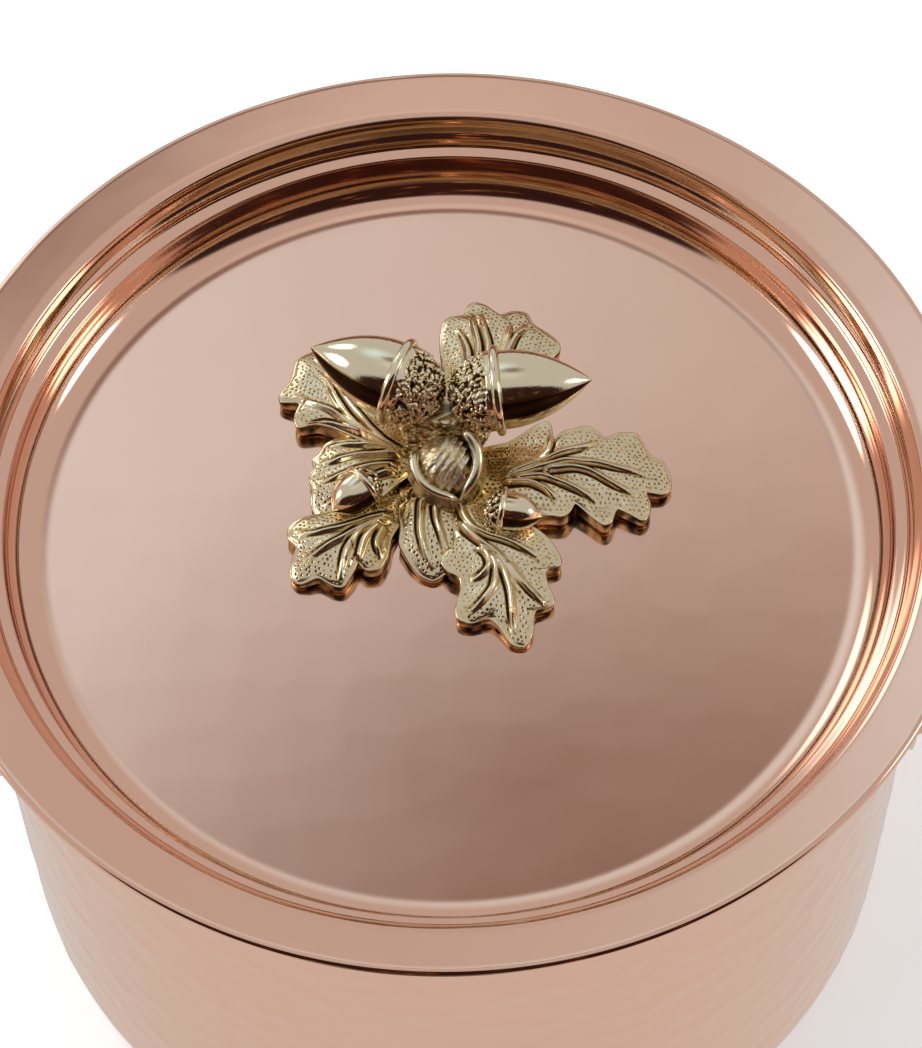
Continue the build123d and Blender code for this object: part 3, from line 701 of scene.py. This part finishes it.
def oak_leaf(heights, outline, veins):
    """Both halves of a leaf's top. Height: a shallow ball, minus a droop towards the edge, plus a ridge
    exp(-(d/w)^2) along each vein, minus a groove at its right and minus the punched dots."""
    along_count, across_count = 270, 84
    crown, tip_height = heights
    line = rounded(outline, 0.95)
    split = int(np.argmax(line[:, 0]))
    sides = [evenly(line[: split + 1], along_count), evenly(line[split:][::-1], along_count)]
    w = np.linspace(0, 1, along_count)
    foot_share = w**1.5
    root, tip = 0.5 * (line[0] + line[-1]), line[split]
    middle = root + (tip - root) * foot_share[:, None]
    way = np.gradient(middle, axis=0) + [1e-6, 0]
    way /= np.linalg.norm(way, axis=1)[:, None]
    s = np.linspace(0, 1, across_count) ** 0.9
    length = tip[0]
    fall = crown - tip_height
    ball = ((1 - crown_place) ** 2 * length**2 + fall**2) / (2 * fall)
    curves = [evenly(rounded(evenly(np.array(vein, float), 60), 1.2), 40) for vein in veins]
    halves = []
    for rim in sides:
        span = np.linalg.norm(rim - middle, axis=1)[:, None]
        bow = middle + 0.5 * span * way
        t = s[None, :, None]
        flat = (1 - t) ** 2 * middle[:, None] + 2 * t * (1 - t) * bow[:, None] + t**2 * rim[:, None]
        away = np.hypot(flat[..., 0] - crown_place * length, flat[..., 1])
        height = np.maximum(crown - ball + np.sqrt(ball**2 - np.minimum(away, 0.95 * ball) ** 2), 1.4)
        from_edge = (1 - s) * span * np.ones_like(away)
        ridges, grooves, clear, near = 0 * away, 0 * away, 0 * away, 0 * away
        for curve in curves:
            side, share = beside(flat, curve)
            ends = np.clip(share * 9, 0, 1) * np.clip((1.0 - share) * 3.5, 0, 1)
            fade = ends * np.clip(from_edge / 1.6, 0, 1)
            width = 0.86 - 0.30 * share
            ridges = np.maximum(ridges, fade * (1.15 - 0.45 * share) * np.exp(-((side / width) ** 2)))
            right_groove = np.exp(-(((side + 1.62 * width) / (0.52 * width)) ** 2))
            left_groove = 0.35 * np.exp(-(((side - 1.7 * width) / (0.5 * width)) ** 2))
            grooves = np.maximum(grooves, fade * np.maximum(right_groove, left_groove))
            clear = np.maximum(clear, fade * np.exp(-((side / (2.2 * width)) ** 4)))
            near = np.maximum(near, fade * np.exp(-((side / 3.2) ** 2)))
        grooves = grooves * (1 - np.clip(1.2 * ridges, 0, 1))
        clear = np.maximum(clear, np.exp(-((from_edge / 0.55) ** 4)))
        swell = drift(np.dstack([flat, 0 * away + len(outline)]), 4.5, 7)
        row = np.round(flat[..., 1] / (0.866 * dot_spacing))
        column = np.round(flat[..., 0] / dot_spacing - 0.5 * (row % 2))
        dot_x = (column + 0.5 * (row % 2) + 0.42 * (scatter(column, row, 1) - 0.5)) * dot_spacing
        dot_y = (row * 0.866 + 0.42 * (scatter(column, row, 2) - 0.5)) * dot_spacing
        dot_size = dot_radius * (0.75 + 0.5 * scatter(column, row, 3))
        to_dot = np.hypot(flat[..., 0] - dot_x, flat[..., 1] - dot_y)
        dots = np.exp(-((to_dot / dot_size) ** 4)) * np.clip(1 - 1.6 * clear, 0, 1)
        droop = 0.30 * np.exp(-((from_edge / 0.6) ** 2)) + 0.55 * np.exp(-((from_edge / 3.4) ** 2))
        height = height + ridges + 0.7 * near + 0.45 * swell - 0.6 * grooves - droop - dot_depth * dots
        # Painted shade near the root, where the leaves run in under the bud, the stem and the acorns; a
        # little darker away from the veins. The next line adds dark tarnish in the dots and grooves.
        shade = 0.08 + 0.12 * (1 - near) + 0.25 * np.exp(-((flat[..., 0] / 8.0) ** 2))
        hollow = np.clip(shade + 0.6 * dots + 0.9 * grooves, 0, 1)
        halves.append((rim, flat, height, hollow))
    return halves


def outward_of(rim, side):
    """The unit normals of an outline's side, pointing away from the leaf."""
    way = np.gradient(rim, axis=0)
    return side * np.stack([-way[:, 1], way[:, 0]], 1) / np.linalg.norm(way, axis=1)[:, None]


def cast_leaf(name, root, heading, heights, outline, veins):
    """Close the leaf's two halves with a rounded edge, a wall down to the lid's floor and an underside."""
    halves = oak_leaf(heights, outline, veins)
    left_rim, left_flat, left_height, left_patina_shade = halves[0]
    right_rim, right_flat, right_height, right_patina_shade = halves[1]
    columns = [np.dstack([left_flat, left_height])[:, ::-1], np.dstack([right_flat, right_height])[:, 1:]]
    patina_shades = [left_patina_shade[:, ::-1], right_patina_shade[:, 1:]]
    walls = []
    for side, rim, height in ((1, left_rim, left_height[:, -1]), (-1, right_rim, right_height[:, -1])):
        outward = outward_of(rim, side)
        low = 0.15
        steps = [(0.20, 0.06), (0.36, 0.20), (0.42, 0.42)]
        wall = [np.column_stack([rim + out * outward, height - down]) for out, down in steps]
        for share, out in ((0.5, 0.30), (0.8, 0.16), (1.0, -0.15)):
            wall.append(np.column_stack([rim + out * outward, height - 0.42 - share * (height - 0.42 - low)]))
        walls.append(np.stack(wall, 1))
    mid = left_flat[:, 0]
    under = [0.5 * (mid + right_rim), mid, 0.5 * (mid + left_rim)]
    floor_row = np.stack([np.column_stack([row, np.full(len(row), 0.15)]) for row in under], 1)
    columns += [walls[1], floor_row, walls[0][:, ::-1]]
    grid = np.concatenate(columns, axis=1)
    # Painted shade: the walls and the underside are dark, varying slowly, and the wall's top at the rounded
    # edge stays light.
    wall_painted_shade = 0.6 + 0.45 * drift(grid[:, -15:], 2.0, 5)
    wall_painted_shade[:, [0, -1]] = 0.2
    hollow = np.concatenate(patina_shades + [wall_painted_shade], axis=1)
    grid = capped(grid)
    hollow = np.concatenate([hollow[:1], hollow, hollow[-1:]])
    turn = math.radians(heading)
    x = root[0] + grid[..., 0] * math.cos(turn) - grid[..., 1] * math.sin(turn)
    y = root[1] + grid[..., 0] * math.sin(turn) + grid[..., 1] * math.cos(turn)
    placed = np.stack([x, y, lid_floor + grid[..., 2]], axis=-1)
    piece(f"oak_leaf_{name}", placed, "lid", "finial_bronze", f"leaf_{name}", hollow, leaf_matt)


# %% Cast the seven leaves
cast_leaf(
    "front", (3.0, 9.0), -72.5, (6.5, 2.6),
    [(0, 3), (9, 8), (16, 15), (20, 17), (25.5, 18), (27.5, 17), (27, 13), (31, 12), (36, 12.5), (37.5, 11)]
    + [(37, 6.5), (43, 4), (45.5, 1.5), (44, -1.5), (38, -3), (35.5, -4.5), (35.5, -9.5)]
    + [(33.5, -12), (30.5, -11.5)]
    + [(26.5, -8.5), (23, -7.5), (20.5, -10), (17, -11), (15.5, -9), (13.5, -5.5), (0, -3)],
    [
        [(-0.5, 0), (3.5, -1.5), (8, -1.5), (12, -0.5), (15, 2.5), (17.5, 6), (22.5, 11), (27, 14)],
        [(7, -3), (11, -2.5), (15.5, -0.5), (18.5, 1.5), (22, 3.5), (26, 4), (30.5, 4.5), (35, 6)],
        [(20.5, 2), (26, 3), (31.5, 2.5), (37, 1), (44, -1)],
        [(19.5, 1), (24, 1.5), (29, -1), (32, -5.5), (33.5, -10)],
        [(17, -1), (20, 0.5), (23.5, 0), (25.5, -3.5), (25, -6.5)],
        [(23, 4), (28.5, 5.5), (33, 7.5), (37.5, 10)],
    ],
)
cast_leaf(
    "right", (11.0, 15.0), -4.0, (6.8, 3.8),
    [(-6, 6.5), (4.5, 9), (11, 15), (14.5, 16.5), (15.5, 10), (18, 13), (24.5, 15.5), (27.5, 13.5)]
    + [(28.5, 11.5), (32, 14), (37, 14.5), (39, 10.5), (40.5, 7.5), (43.5, 6.5), (45.5, 2.5), (46, -1)]
    + [(44, -3.5), (39, -3), (40.5, -6), (40.5, -9.5), (39, -12), (32, -8.5), (31, -13), (29.5, -14.5)]
    + [(27.5, -13), (21.5, -8)]
    + [(20, -11.5), (18.5, -12.5), (16, -12), (10.5, -12.5), (2, -9), (-6, -6)],
    [
        [(3, -1.5), (8.5, 1), (13.5, 3.5), (17.5, 5.5), (22.5, 7.5), (28, 10.5)],
        [(11, 2.5), (14, 5.5), (15, 8.5), (15.5, 13)],
        [(2.5, -2), (10, 0), (15, 2), (20, 3.5), (25, 3), (33, 2), (41.5, 0.5)],
        [(12.5, 0), (20, 1.5), (25, 0.5), (31, -3), (38, -5.5)],
        [(5, -2.5), (12.5, -1.5), (17.5, -3), (23, -5.5), (28, -8.5)],
        [(2.5, -3.5), (10, -3.5), (14, -5.5), (18, -8.5)],
    ],
)
cast_leaf(
    "upper_left", (-10.0, 23.0), 138.0, (7.0, 4.2),
    [(-4, 4), (12, 6), (19, 7.5), (23, 9), (26, 13), (29, 11), (30.5, 6.5), (35.5, 9.5), (37, 8), (37.5, 2.5)]
    + [(41, -3), (39.5, -8), (34, -12), (29, -12), (23, -7), (16, -11), (-4, -5)],
    [
        [(-1, 2), (5, 3), (12.5, 2), (19.5, 0), (27.5, -3), (34, -5.5), (38.5, -6.5)],
        [(0, 2.5), (9, 4), (16.5, 3.5), (23.5, 1), (29.5, -2), (35, -3)],
        [(7.5, 4), (15.5, 4.5), (21.5, 4.5), (26.5, 5.5), (33.5, 6.5)],
        [(10.5, 4.5), (16, 6), (21, 8), (25, 12)],
    ],
)
cast_leaf(
    "mid_left", (-10.0, 22.5), -166.0, (6.0, 3.4),
    [(-4, 4), (14, 13), (25.5, 13), (27, 9), (27, 6.5), (25.5, 2.5), (26, -0.5), (23.5, -3), (24, -5.5)]
    + [(21, -6.5), (20, -8.5), (17, -9), (11.5, -10), (-4, -5)],
    [
        [(1, 1), (6.5, -2.5), (12.5, -5), (17.5, -7), (20, -7)],
        [(1, 2), (6, 0), (12, -1.5), (16, -2), (20, -2), (23.5, -3.5)],
        [(3, 4.5), (9.5, 2.5), (16, 2.5), (21, 3), (25, 2)],
        [(4.5, 5), (13, 6), (20, 8.5), (25, 9.5)],
    ],
)
cast_leaf(
    "front_left", (-20.0, 4.0), -139.0, (6.5, 3.4),
    [(-15, 3), (0.5, 8.5), (4, 11.5), (8.5, 13.5), (11.5, 11.5), (11, 8), (14, 9.5), (18.5, 11), (20, 9)]
    + [(21, 4.5), (24, 3.5), (26, 2), (25.5, -1), (23, -3.5), (19, -5.5), (19, -9.5), (17, -11.5)]
    + [(14, -11.5), (2, -4.5), (-15, -3)],
    [
        [(-4.5, 4.5), (4, 1), (9, -1), (14.5, -4.5), (18, -9)],
        [(-3.5, 5), (4.5, 2.5), (10.5, 1.5), (16, 0.5), (22, -1)],
        [(-1.5, 4.5), (6, 3), (12, 4.5), (16.5, 8), (19.5, 11)],
        [(-0.5, 4.5), (6, 5), (10.5, 8), (15, 10.5)],
        [(-0.5, 5.5), (5, 8), (6.5, 12.5)],
    ],
)
cast_leaf(
    "back", (4.5, 38.5), 73.0, (7.4, 5.9),
    [(-12, 4), (6, 6), (11.5, 9), (17, 10.5), (21.5, 11), (23.5, 9.5), (24.5, 6), (28, 6.5), (30, 5)]
    + [(29.5, 1.5), (27, -2.5), (30, -5.5), (30.5, -9), (27, -11.5), (25.5, -15.5), (23.5, -19.5)]
    + [(21, -20.5), (12, -16), (-2, -6), (-12, -4)],
    [
        [(5.5, -5), (16.5, -2.5), (22, 0.5), (26.5, 2.5)],
        [(5, -3), (15.5, 0), (21.5, 3), (26, 5)],
        [(4.5, -1), (13.5, 2.5), (18.5, 6), (20, 7.5)],
        [(7.5, -6.5), (18.5, -7), (25.5, -6)],
        [(8, -7.5), (20.5, -8.5), (26, -10.5)],
    ],
)
cast_leaf(
    "centre", (-3.0, 11.0), -94.0, (6.6, 2.6),
    [(-2, 3), (13, 6.5), (19, 6), (23, 4), (25.5, 0.5), (24, -3), (21, -5.5), (16, -8.5), (11.5, -8)]
    + [(7.5, -9), (5, -9), (4, -6.5), (2, -9), (-1, -9), (-2, -5)],
    [
        [(-5, 2), (4, 0), (10, 0.5), (15.5, 2.5), (21, 4.5)],
        [(-3.5, -0.5), (5.5, -3.5), (13, -3.5), (19, -2), (23, 0.5)],
        [(-3.5, -2), (3, -6), (6, -7.5), (10.5, -8)],
    ],
)

# %% [markdown]
# ## Acorns
# A nut is a smooth pointed shape whose radius falls with a power of the way to its tip. Its cup is half
# an ellipse, covered with pebbles that stand out round scattered centres, with dark gaps between them,
# and it ends in a smooth bead. Both are profiles carried round the acorn's own axis.

# %% Make an acorn
def along_axis(line, place, pointing, count):
    """Carry a profile of (way along, radius) points round an axis that starts at place."""
    axis = np.array(pointing, float) / np.linalg.norm(pointing)
    side = np.cross([0, 0, 1], axis)
    side /= np.linalg.norm(side)
    over = np.cross(axis, side)
    angle = full_turn(count)
    ring = np.cos(angle)[:, None] * side + np.sin(angle)[:, None] * over
    start = np.array([place[0], place[1], lid_floor + place[2]])
    return start + line[:, :1, None] * axis + line[:, 1:, None] * ring, ring


def acorn(side, place, pointing, radius, length, power, depth, bead, pebble, relief, prefix=""):
    """A nut and its cup. Nut radius: R (1 - t^power). Cup radius: R sqrt(1 - t^2), plus bead and pebbles.
    Pebble is the size of a pebble, and relief how far it stands out."""
    t = np.linspace(0, 1, 90)
    nut_line = np.column_stack([t * length, radius * (1 - t**power)])
    nut_line = np.vstack([[(-2 * bead, 0), (-2 * bead, 0.9 * radius), (0, 0.97 * radius)], nut_line])
    nut, ring = along_axis(nut_line, place, pointing, 160)
    # Painted reflection: a dark band where the nut faces the dark warm room behind the camera, a little above
    # its side.
    painted_reflection_band = np.clip(1.6 - 1.6 * ((ring[:, 2] - 0.34) / 0.31) ** 2, 0, 1)
    painted_reflection_band = painted_reflection_band * np.clip(-3 * ring[:, 1] - 0.6, 0, 1)
    piece(f"{prefix}nut_{side}", nut, "lid", "finial_bronze", f"{prefix}acorn_nut_{side}", painted_reflection_band)
    rim = arc((-bead, radius + 0.3 * bead), bead, -60, 190, 18)
    t = np.linspace(0.17, 1, 150)
    back = np.column_stack([-depth * t, (radius + 0.35 * bead) * np.sqrt(1 - t**2)])
    cup_line = np.vstack([[(-1.5 * bead, 0), (-1.5 * bead, 0.85 * radius)], rim, back])
    cup, ring = along_axis(cup_line, place, pointing, 240)
    pebbled = np.clip((np.arange(len(cup_line)) - 30) / 18, 0, 1)[:, None]
    wander = np.stack([drift(cup, 1.6 * pebble, seed) for seed in (21, 22, 23)], -1)
    stones = cells(cup + 0.55 * pebble * wander, pebble, 4 + len(side))
    outward = cup - np.array([place[0], place[1], lid_floor + place[2]])
    outward /= np.linalg.norm(outward, axis=2)[..., None] + 1e-6
    swell = (0.55 - stones) * 1.5 + 0.7 * drift(cup, 2.6 * pebble, 3) + 0.4 * drift(cup, 0.7 * pebble, 4)
    cup = cup + outward * (relief * swell * pebbled)[..., None]
    gaps = np.clip((stones - 0.42) * 3.4 + 0.3 * drift(cup, 3.0 * pebble, 6), 0, 1) * pebbled
    gaps[:3] = joint_shade
    node = f"{prefix}acorn_cup_{side}"
    piece(f"{prefix}cup_{side}", cup, "lid", "finial_bronze", node, gaps, cup_matt * pebbled)


cup_matt, joint_shade = 0.5, 0.9
large_cup = dict(depth=13.5, bead=1.2, pebble=1.2, relief=0.75)
small_cup = dict(depth=5.4, bead=0.8, pebble=1.1, relief=0.4, prefix="small_")
acorn("left", (-13.0, 31.7, 24.0), (-21.0, 9.4, 2.0), 10.0, 22.8, 2.11, **large_cup)
acorn("right", (14.4, 27.7, 24.0), (22.1, 0.9, 2.0), 10.0, 22.8, 2.11, **large_cup)
acorn("left", (-21.9, 9.0, 8.8), (-6.9, -5.7, -0.4), 5.2, 9.4, 3.2, **small_cup)
acorn("right", (14.3, 1.6, 8.6), (9.9, -1.8, -0.6), 5.0, 9.6, 3.0, **small_cup)

# %% [markdown]
# ## Bud and stem
# Between the leaves sits a half open bud: two smooth petals with broad lips curl round a folded core,
# a low one at the left and one at the right that rises to a point. A petal is one closed section,
# up its outside, over a rolled lip and down its inside, that is carried round part of a circle while its
# top rises or falls. The stem behind the bud carries the two acorns, is oval and has a rough bark.
# The base plate lies under them all.

# %% Fold the bud
bud_at, bud_foot, bud_height = (0.0, 13.5), 1.5, 16.6
core_radius, core_fold, core_lump = 7.5, 0.42, 0.38
core_matt, petal_matt, bark_matt = 0.9, 0.35, 0.7


def upright(middle_x, middle_y, radius, angle, height):
    """Points at a radius and an angle round an upright line, at a height over the lid's floor."""
    x, y = middle_x + radius * np.cos(angle), middle_y + radius * np.sin(angle)
    return np.stack([x, y, lid_floor + height], -1)


def bud_core():
    """A pod that leans back to the right: its radius is half an ellipse, with slanting folds, the sine of
    a slanting plane, and small lumps."""
    t = np.linspace(0, 1, 120)[:, None]
    angle = full_turn(240)[None]
    radius = core_radius * np.sqrt(np.clip(1 - ((t - 0.40) / 0.6) ** 2, 0, 1)) + 0 * angle
    height = bud_foot + bud_height * t + 0 * angle
    x, y = radius * np.cos(angle), radius * np.sin(angle)
    right_share = np.clip(0.5 + x / 5, 0, 1)
    place = np.stack([x, y, height], -1)
    fold = np.sin(2 * np.pi * (x - 0.55 * y - 0.25 * height) / 2.1 + 1.2 * drift(place, 3.0, 12))
    fold = fold * (0.3 + 0.7 * right_share)
    lumps = 0.6 * drift(place, 1.3, 9) + 0.5 * drift(place, 0.6, 10)
    radius = radius + core_fold * fold + core_lump * lumps
    lean = t**2
    middle_x, middle_y = bud_at[0] - 1.7 + 2.2 * lean, bud_at[1] + 0.4 + 1.6 * lean
    grid = upright(middle_x, middle_y, radius, angle, height)
    return grid, np.clip(0.17 - 0.24 * fold + 0.30 * lumps, 0, 1)


core_grid, core_hollow = bud_core()
piece("bud_core", core_grid, "lid", "finial_bronze", "bud", core_hollow, core_matt)


def petal(name, start, end, tops, radii, thick):
    """A petal from one angle to another. Radius up the section: foot to belly as a sine, belly to lip as a
    smooth step. Its top runs between the two heights and rounds off at both ends."""
    share = np.linspace(0, 1, 110)[:, None]
    angle = np.radians(start + (end - start) * share)
    top = tops[0] + (tops[1] - tops[0]) * share
    ends = np.clip(1 - np.abs(2 * share - 1) ** 6, 0, 1) ** 0.5
    top = bud_foot + (top - bud_foot) * (0.35 + 0.65 * ends)
    rise = np.linspace(0, 1, 40)
    lip = np.linspace(0, np.pi, 12)[1:-1]
    up = np.concatenate([rise, np.ones(10), rise[::-1]])[None]
    wall = np.concatenate([np.zeros(40), (1 - np.cos(lip)) / 2, np.ones(40)])[None]
    wall = wall * thick * (0.25 + 0.75 * ends)
    over = np.concatenate([np.zeros(40), np.sin(lip) * thick * 0.55, np.zeros(40)])[None] * (0.3 + 0.7 * ends)
    foot, belly, edge = radii
    turn_out = np.clip((up - 0.6) / 0.4, 0, 1)
    radius = foot + (belly - foot) * np.sin(np.pi / 2 * np.clip(up / 0.6, 0, 1))
    radius = radius + (edge - belly) * turn_out**2 * (3 - 2 * turn_out) - wall
    height = bud_foot + (top - bud_foot) * up + over
    grid = capped(upright(*bud_at, radius, angle, height))
    # Painted shade: the inner face of the petal is dark, darkest at its foot, where it curls round the core.
    inside = np.concatenate([np.zeros(50), 0.7 * np.ones(40)])[None] * (1 - 0.8 * up)
    piece(name, grid, "lid", "finial_bronze", "bud", inside + 0.08, petal_matt)


petal("petal_left", 146, 294, (15.5, 9.5), (6.2, 10.1, 9.5), 2.5)
petal("petal_right", -74, 68, (9.0, 19.5), (6.2, 10.1, 9.2), 3.0)

# %% Lay the base plate
plate_middle, plate_radius, plate_half, plate_thick, plate_shade = 9.0, 10.8, 10.2, 2.5, 0.85
turn = full_turn(160)
end_shift = plate_half * np.sign(np.sin(turn) + 1e-9)
edge = np.column_stack([plate_radius * np.cos(turn), plate_middle + plate_radius * np.sin(turn) + end_shift])
middle = np.array([0, plate_middle])
below, above = [(0.0, 0.0), (0.97, 0.0), (1.0, 0.3)], [(1.0, -0.3), (0.97, 0.0), (0.0, 0.0)]
plate = np.stack([
    np.column_stack([middle + share * (edge - middle), np.full(160, lid_floor + up)])
    for share, up in below + [(share, plate_thick + up) for share, up in above]
])
piece("base_plate", plate, "lid", "finial_bronze", "finial_plate", plate_shade)

# %% Cover the stem with bark
t = np.linspace(0, 1, 150)[:, None]
angle = full_turn(300)[None]
flare = np.where(t < 0.96, 1, np.sqrt(np.clip(1 - ((t - 0.96) / 0.04) ** 2, 0, 1)) * 0.3 + 0.7)
stem_x = -0.5 * t + (9.3 + 4.5 * t) * flare * np.cos(angle)
stem_y = 23.0 + 5.0 * t + (6.8 - 0.5 * t) * flare * np.sin(angle)
stem = np.stack([stem_x, stem_y, lid_floor + 2.2 + 16.5 * t + 0 * angle], -1)
wander = np.stack([drift(stem, 2.4, seed) for seed in (31, 32, 33)], -1)
ridges = cells((stem + 0.8 * wander) * [0.55, 1, 1], 1.0, 11)
outward = np.stack([np.cos(angle) + 0 * t, np.sin(angle) + 0 * t, 0 * t + 0 * angle], -1)
stem = stem + outward * (0.75 * (0.6 - ridges) + 0.9 * drift(stem, 3.4, 5) - 0.6)[..., None]
bark = np.clip((ridges - 0.34) * 3, 0, 1)
piece("bark_stem", stem, "lid", "finial_bronze", "finial_stem", 0.02 + 0.66 * bark, bark_matt)

# %% [markdown]
# ## Handles and rivets
# Each handle is one bronze casting: a round bar bent to reach out from the wall, a grip that swells
# between two collars, and two lugs that follow the wall. The bar is a circle carried along its path,
# its radius a function of the way along. The lugs are ovals wrapped on the pot.

# %% Bend the bars and lay the lugs
handle_height, handle_reach, handle_half_span = 122.0, 46.0, 47.0
handle_bar, grip_radius, grip_half, bar_spread = 5.5, 8.0, 31.0, 0.7
lug_angle, lug_width, lug_tall, lug_thick = 16.0, 25.0, 50.0, 3.5
bar_shade, edge_shade = 0.05, 0.1


def carried(path, radii, count=72):
    """A circle carried along a level path: across it in the plane and straight up, radius by point."""
    way = np.gradient(path, axis=0)
    way /= np.linalg.norm(way, axis=1)[:, None]
    across = np.stack([-way[:, 1], way[:, 0]], 1)
    angle = full_turn(count)
    flat = path[:, None] + across[:, None] * (radii[:, None] * np.cos(angle))[..., None]
    return np.dstack([flat, handle_height + radii[:, None] * np.sin(angle)])


def hermite(points, slopes, step):
    """Cubic stretches through the points with the given directions, each scaled by the stretch's chord."""
    points, slopes = np.array(points, float), np.array(slopes, float)
    line = []
    for start, end, leave, arrive in zip(points, points[1:], slopes, slopes[1:]):
        chord = np.linalg.norm(end - start)
        leave, arrive = (v / np.linalg.norm(v) * 1.15 * chord for v in (leave, arrive))
        t = np.linspace(0, 1, round(1.1 * chord / step))[:, None]
        cubic = (2 * t**3 - 3 * t**2 + 1) * start + (t**3 - 2 * t**2 + t) * leave
        line.append((cubic + (3 * t**2 - 2 * t**3) * end + (t**3 - t**2) * arrive)[:-1])
    return np.vstack(line + [points[-1:]])


def handle(side, facing):
    """The bar with its grip as one piece, and a lug at each end that follows the wall of the pot."""
    start = (pot_radius + 1) * math.cos(math.radians(lug_angle))
    offset = pot_radius * math.sin(math.radians(lug_angle))
    grip_at = pot_radius + handle_reach
    middle = (start + handle_reach / 2, handle_half_span)
    slopes = [(1, bar_spread), (0.8, -0.1), (0, -1)]
    bend = hermite([(start, offset), middle, (grip_at, grip_half)], slopes, 0.7)
    grip = np.column_stack([np.full(90, grip_at), np.linspace(grip_half, -grip_half, 92)[1:-1]])
    path = np.vstack([bend, grip, bend[::-1] * [1, -1]])
    along = np.abs(path[:, 1])
    on_grip = (path[:, 0] > grip_at - 0.5) & (along < grip_half)
    radii = np.full(len(path), handle_bar)
    radii[on_grip] += (grip_radius - handle_bar) * np.cos(np.pi / 2 * along[on_grip] / grip_half) ** 0.8
    run = np.concatenate([[0], np.cumsum(np.linalg.norm(np.diff(path, axis=0), axis=1))])
    middle = run[-1] / 2
    for collar in (-grip_half, grip_half):
        radii += 1.25 * np.exp(-(((run - middle - collar) / 1.5) ** 4))
    ends = np.minimum(run, run[-1] - run)
    radii += 3.2 * np.exp(-ends / 4.5)
    path = path * [facing, 1]
    bar = capped(carried(path, radii))
    piece(f"handle_bar_{side}", bar, "pot", "bronze", f"handle_{side}", bar_shade)
    rounding = [1.0, 1.0, 0.99, 0.965, 0.93]
    share = np.concatenate([np.linspace(0, 1, 8), rounding, np.linspace(0.88, 0, 24)])[:, None]
    proud = np.concatenate([np.zeros(8), [0.45, 0.75, 0.9, 0.97, 1.0], np.linspace(1.0, 1.22, 24)])[:, None]
    angle = full_turn(160)[None]
    for up_down, turn_to in (("a", lug_angle), ("b", -lug_angle)):
        across = share * lug_width / 2 * np.cos(angle)
        height = handle_height + share * lug_tall / 2 * np.sin(angle)
        radius = pot_radius + lug_thick * proud + 0 * angle
        around_pot = math.radians(turn_to) + across / pot_radius
        lug = np.stack([facing * radius * np.cos(around_pot), radius * np.sin(around_pot), height], -1)
        lug_name = f"handle_lug_{side}_{up_down}"
        piece(lug_name, lug, "pot", "bronze", f"handle_{side}", edge_shade * (proud < 0.9))


handle("right", 1)
handle("left", -1)

# %% Close the rivets
rivet_radius, rivet_head, rivet_crown, rivet_spacing = 2.5, 5.0, 2.2, 31.0
lining_radius = mouth_radius - tin_coat


def rivet_heads():
    """Sixteen low domes, two on each rivet, one grid after another. Height falls with radius^2.4."""
    share = np.linspace(0, 1, 14)[:, None]
    angle = full_turn(40)[None]
    across, up = rivet_head * share * np.cos(angle), rivet_head * share * np.sin(angle)
    dents = 0.16 * blows(across + 20, up + 20, 2.6, 6)
    made = []
    for turn_to in (lug_angle, -lug_angle, 180 - lug_angle, 180 + lug_angle):
        for above in (-rivet_spacing / 2, rivet_spacing / 2):
            outer, inner = (pot_radius + lug_thick * 1.06, rivet_crown), (lining_radius, -rivet_crown / 2)
            for base, crown in (outer, inner):
                way_out = np.sign(crown)
                out = base + crown * (1 - share**2.4) - dents * way_out - 0.4 * way_out * share**8
                turn_now = math.radians(turn_to) + across / pot_radius
                x, y = out * np.cos(turn_now), out * np.sin(turn_now)
                made.append(np.stack([x, y, handle_height + above + up], -1))
    return made


def joined(name, parts):
    """Make several pieces one object. The first keeps its place, slot and body, and takes in the others."""
    with bpy.context.temp_override(active_object=parts[0], selected_editable_objects=parts):
        bpy.ops.object.join()
    parts[0].name = name


heads = [
    piece(f"head_{k}", capped(grid)[1:], "pot", "rivet_copper", "handle_rivets")
    for k, grid in enumerate(rivet_heads())
]
joined("copper_rivets", heads)
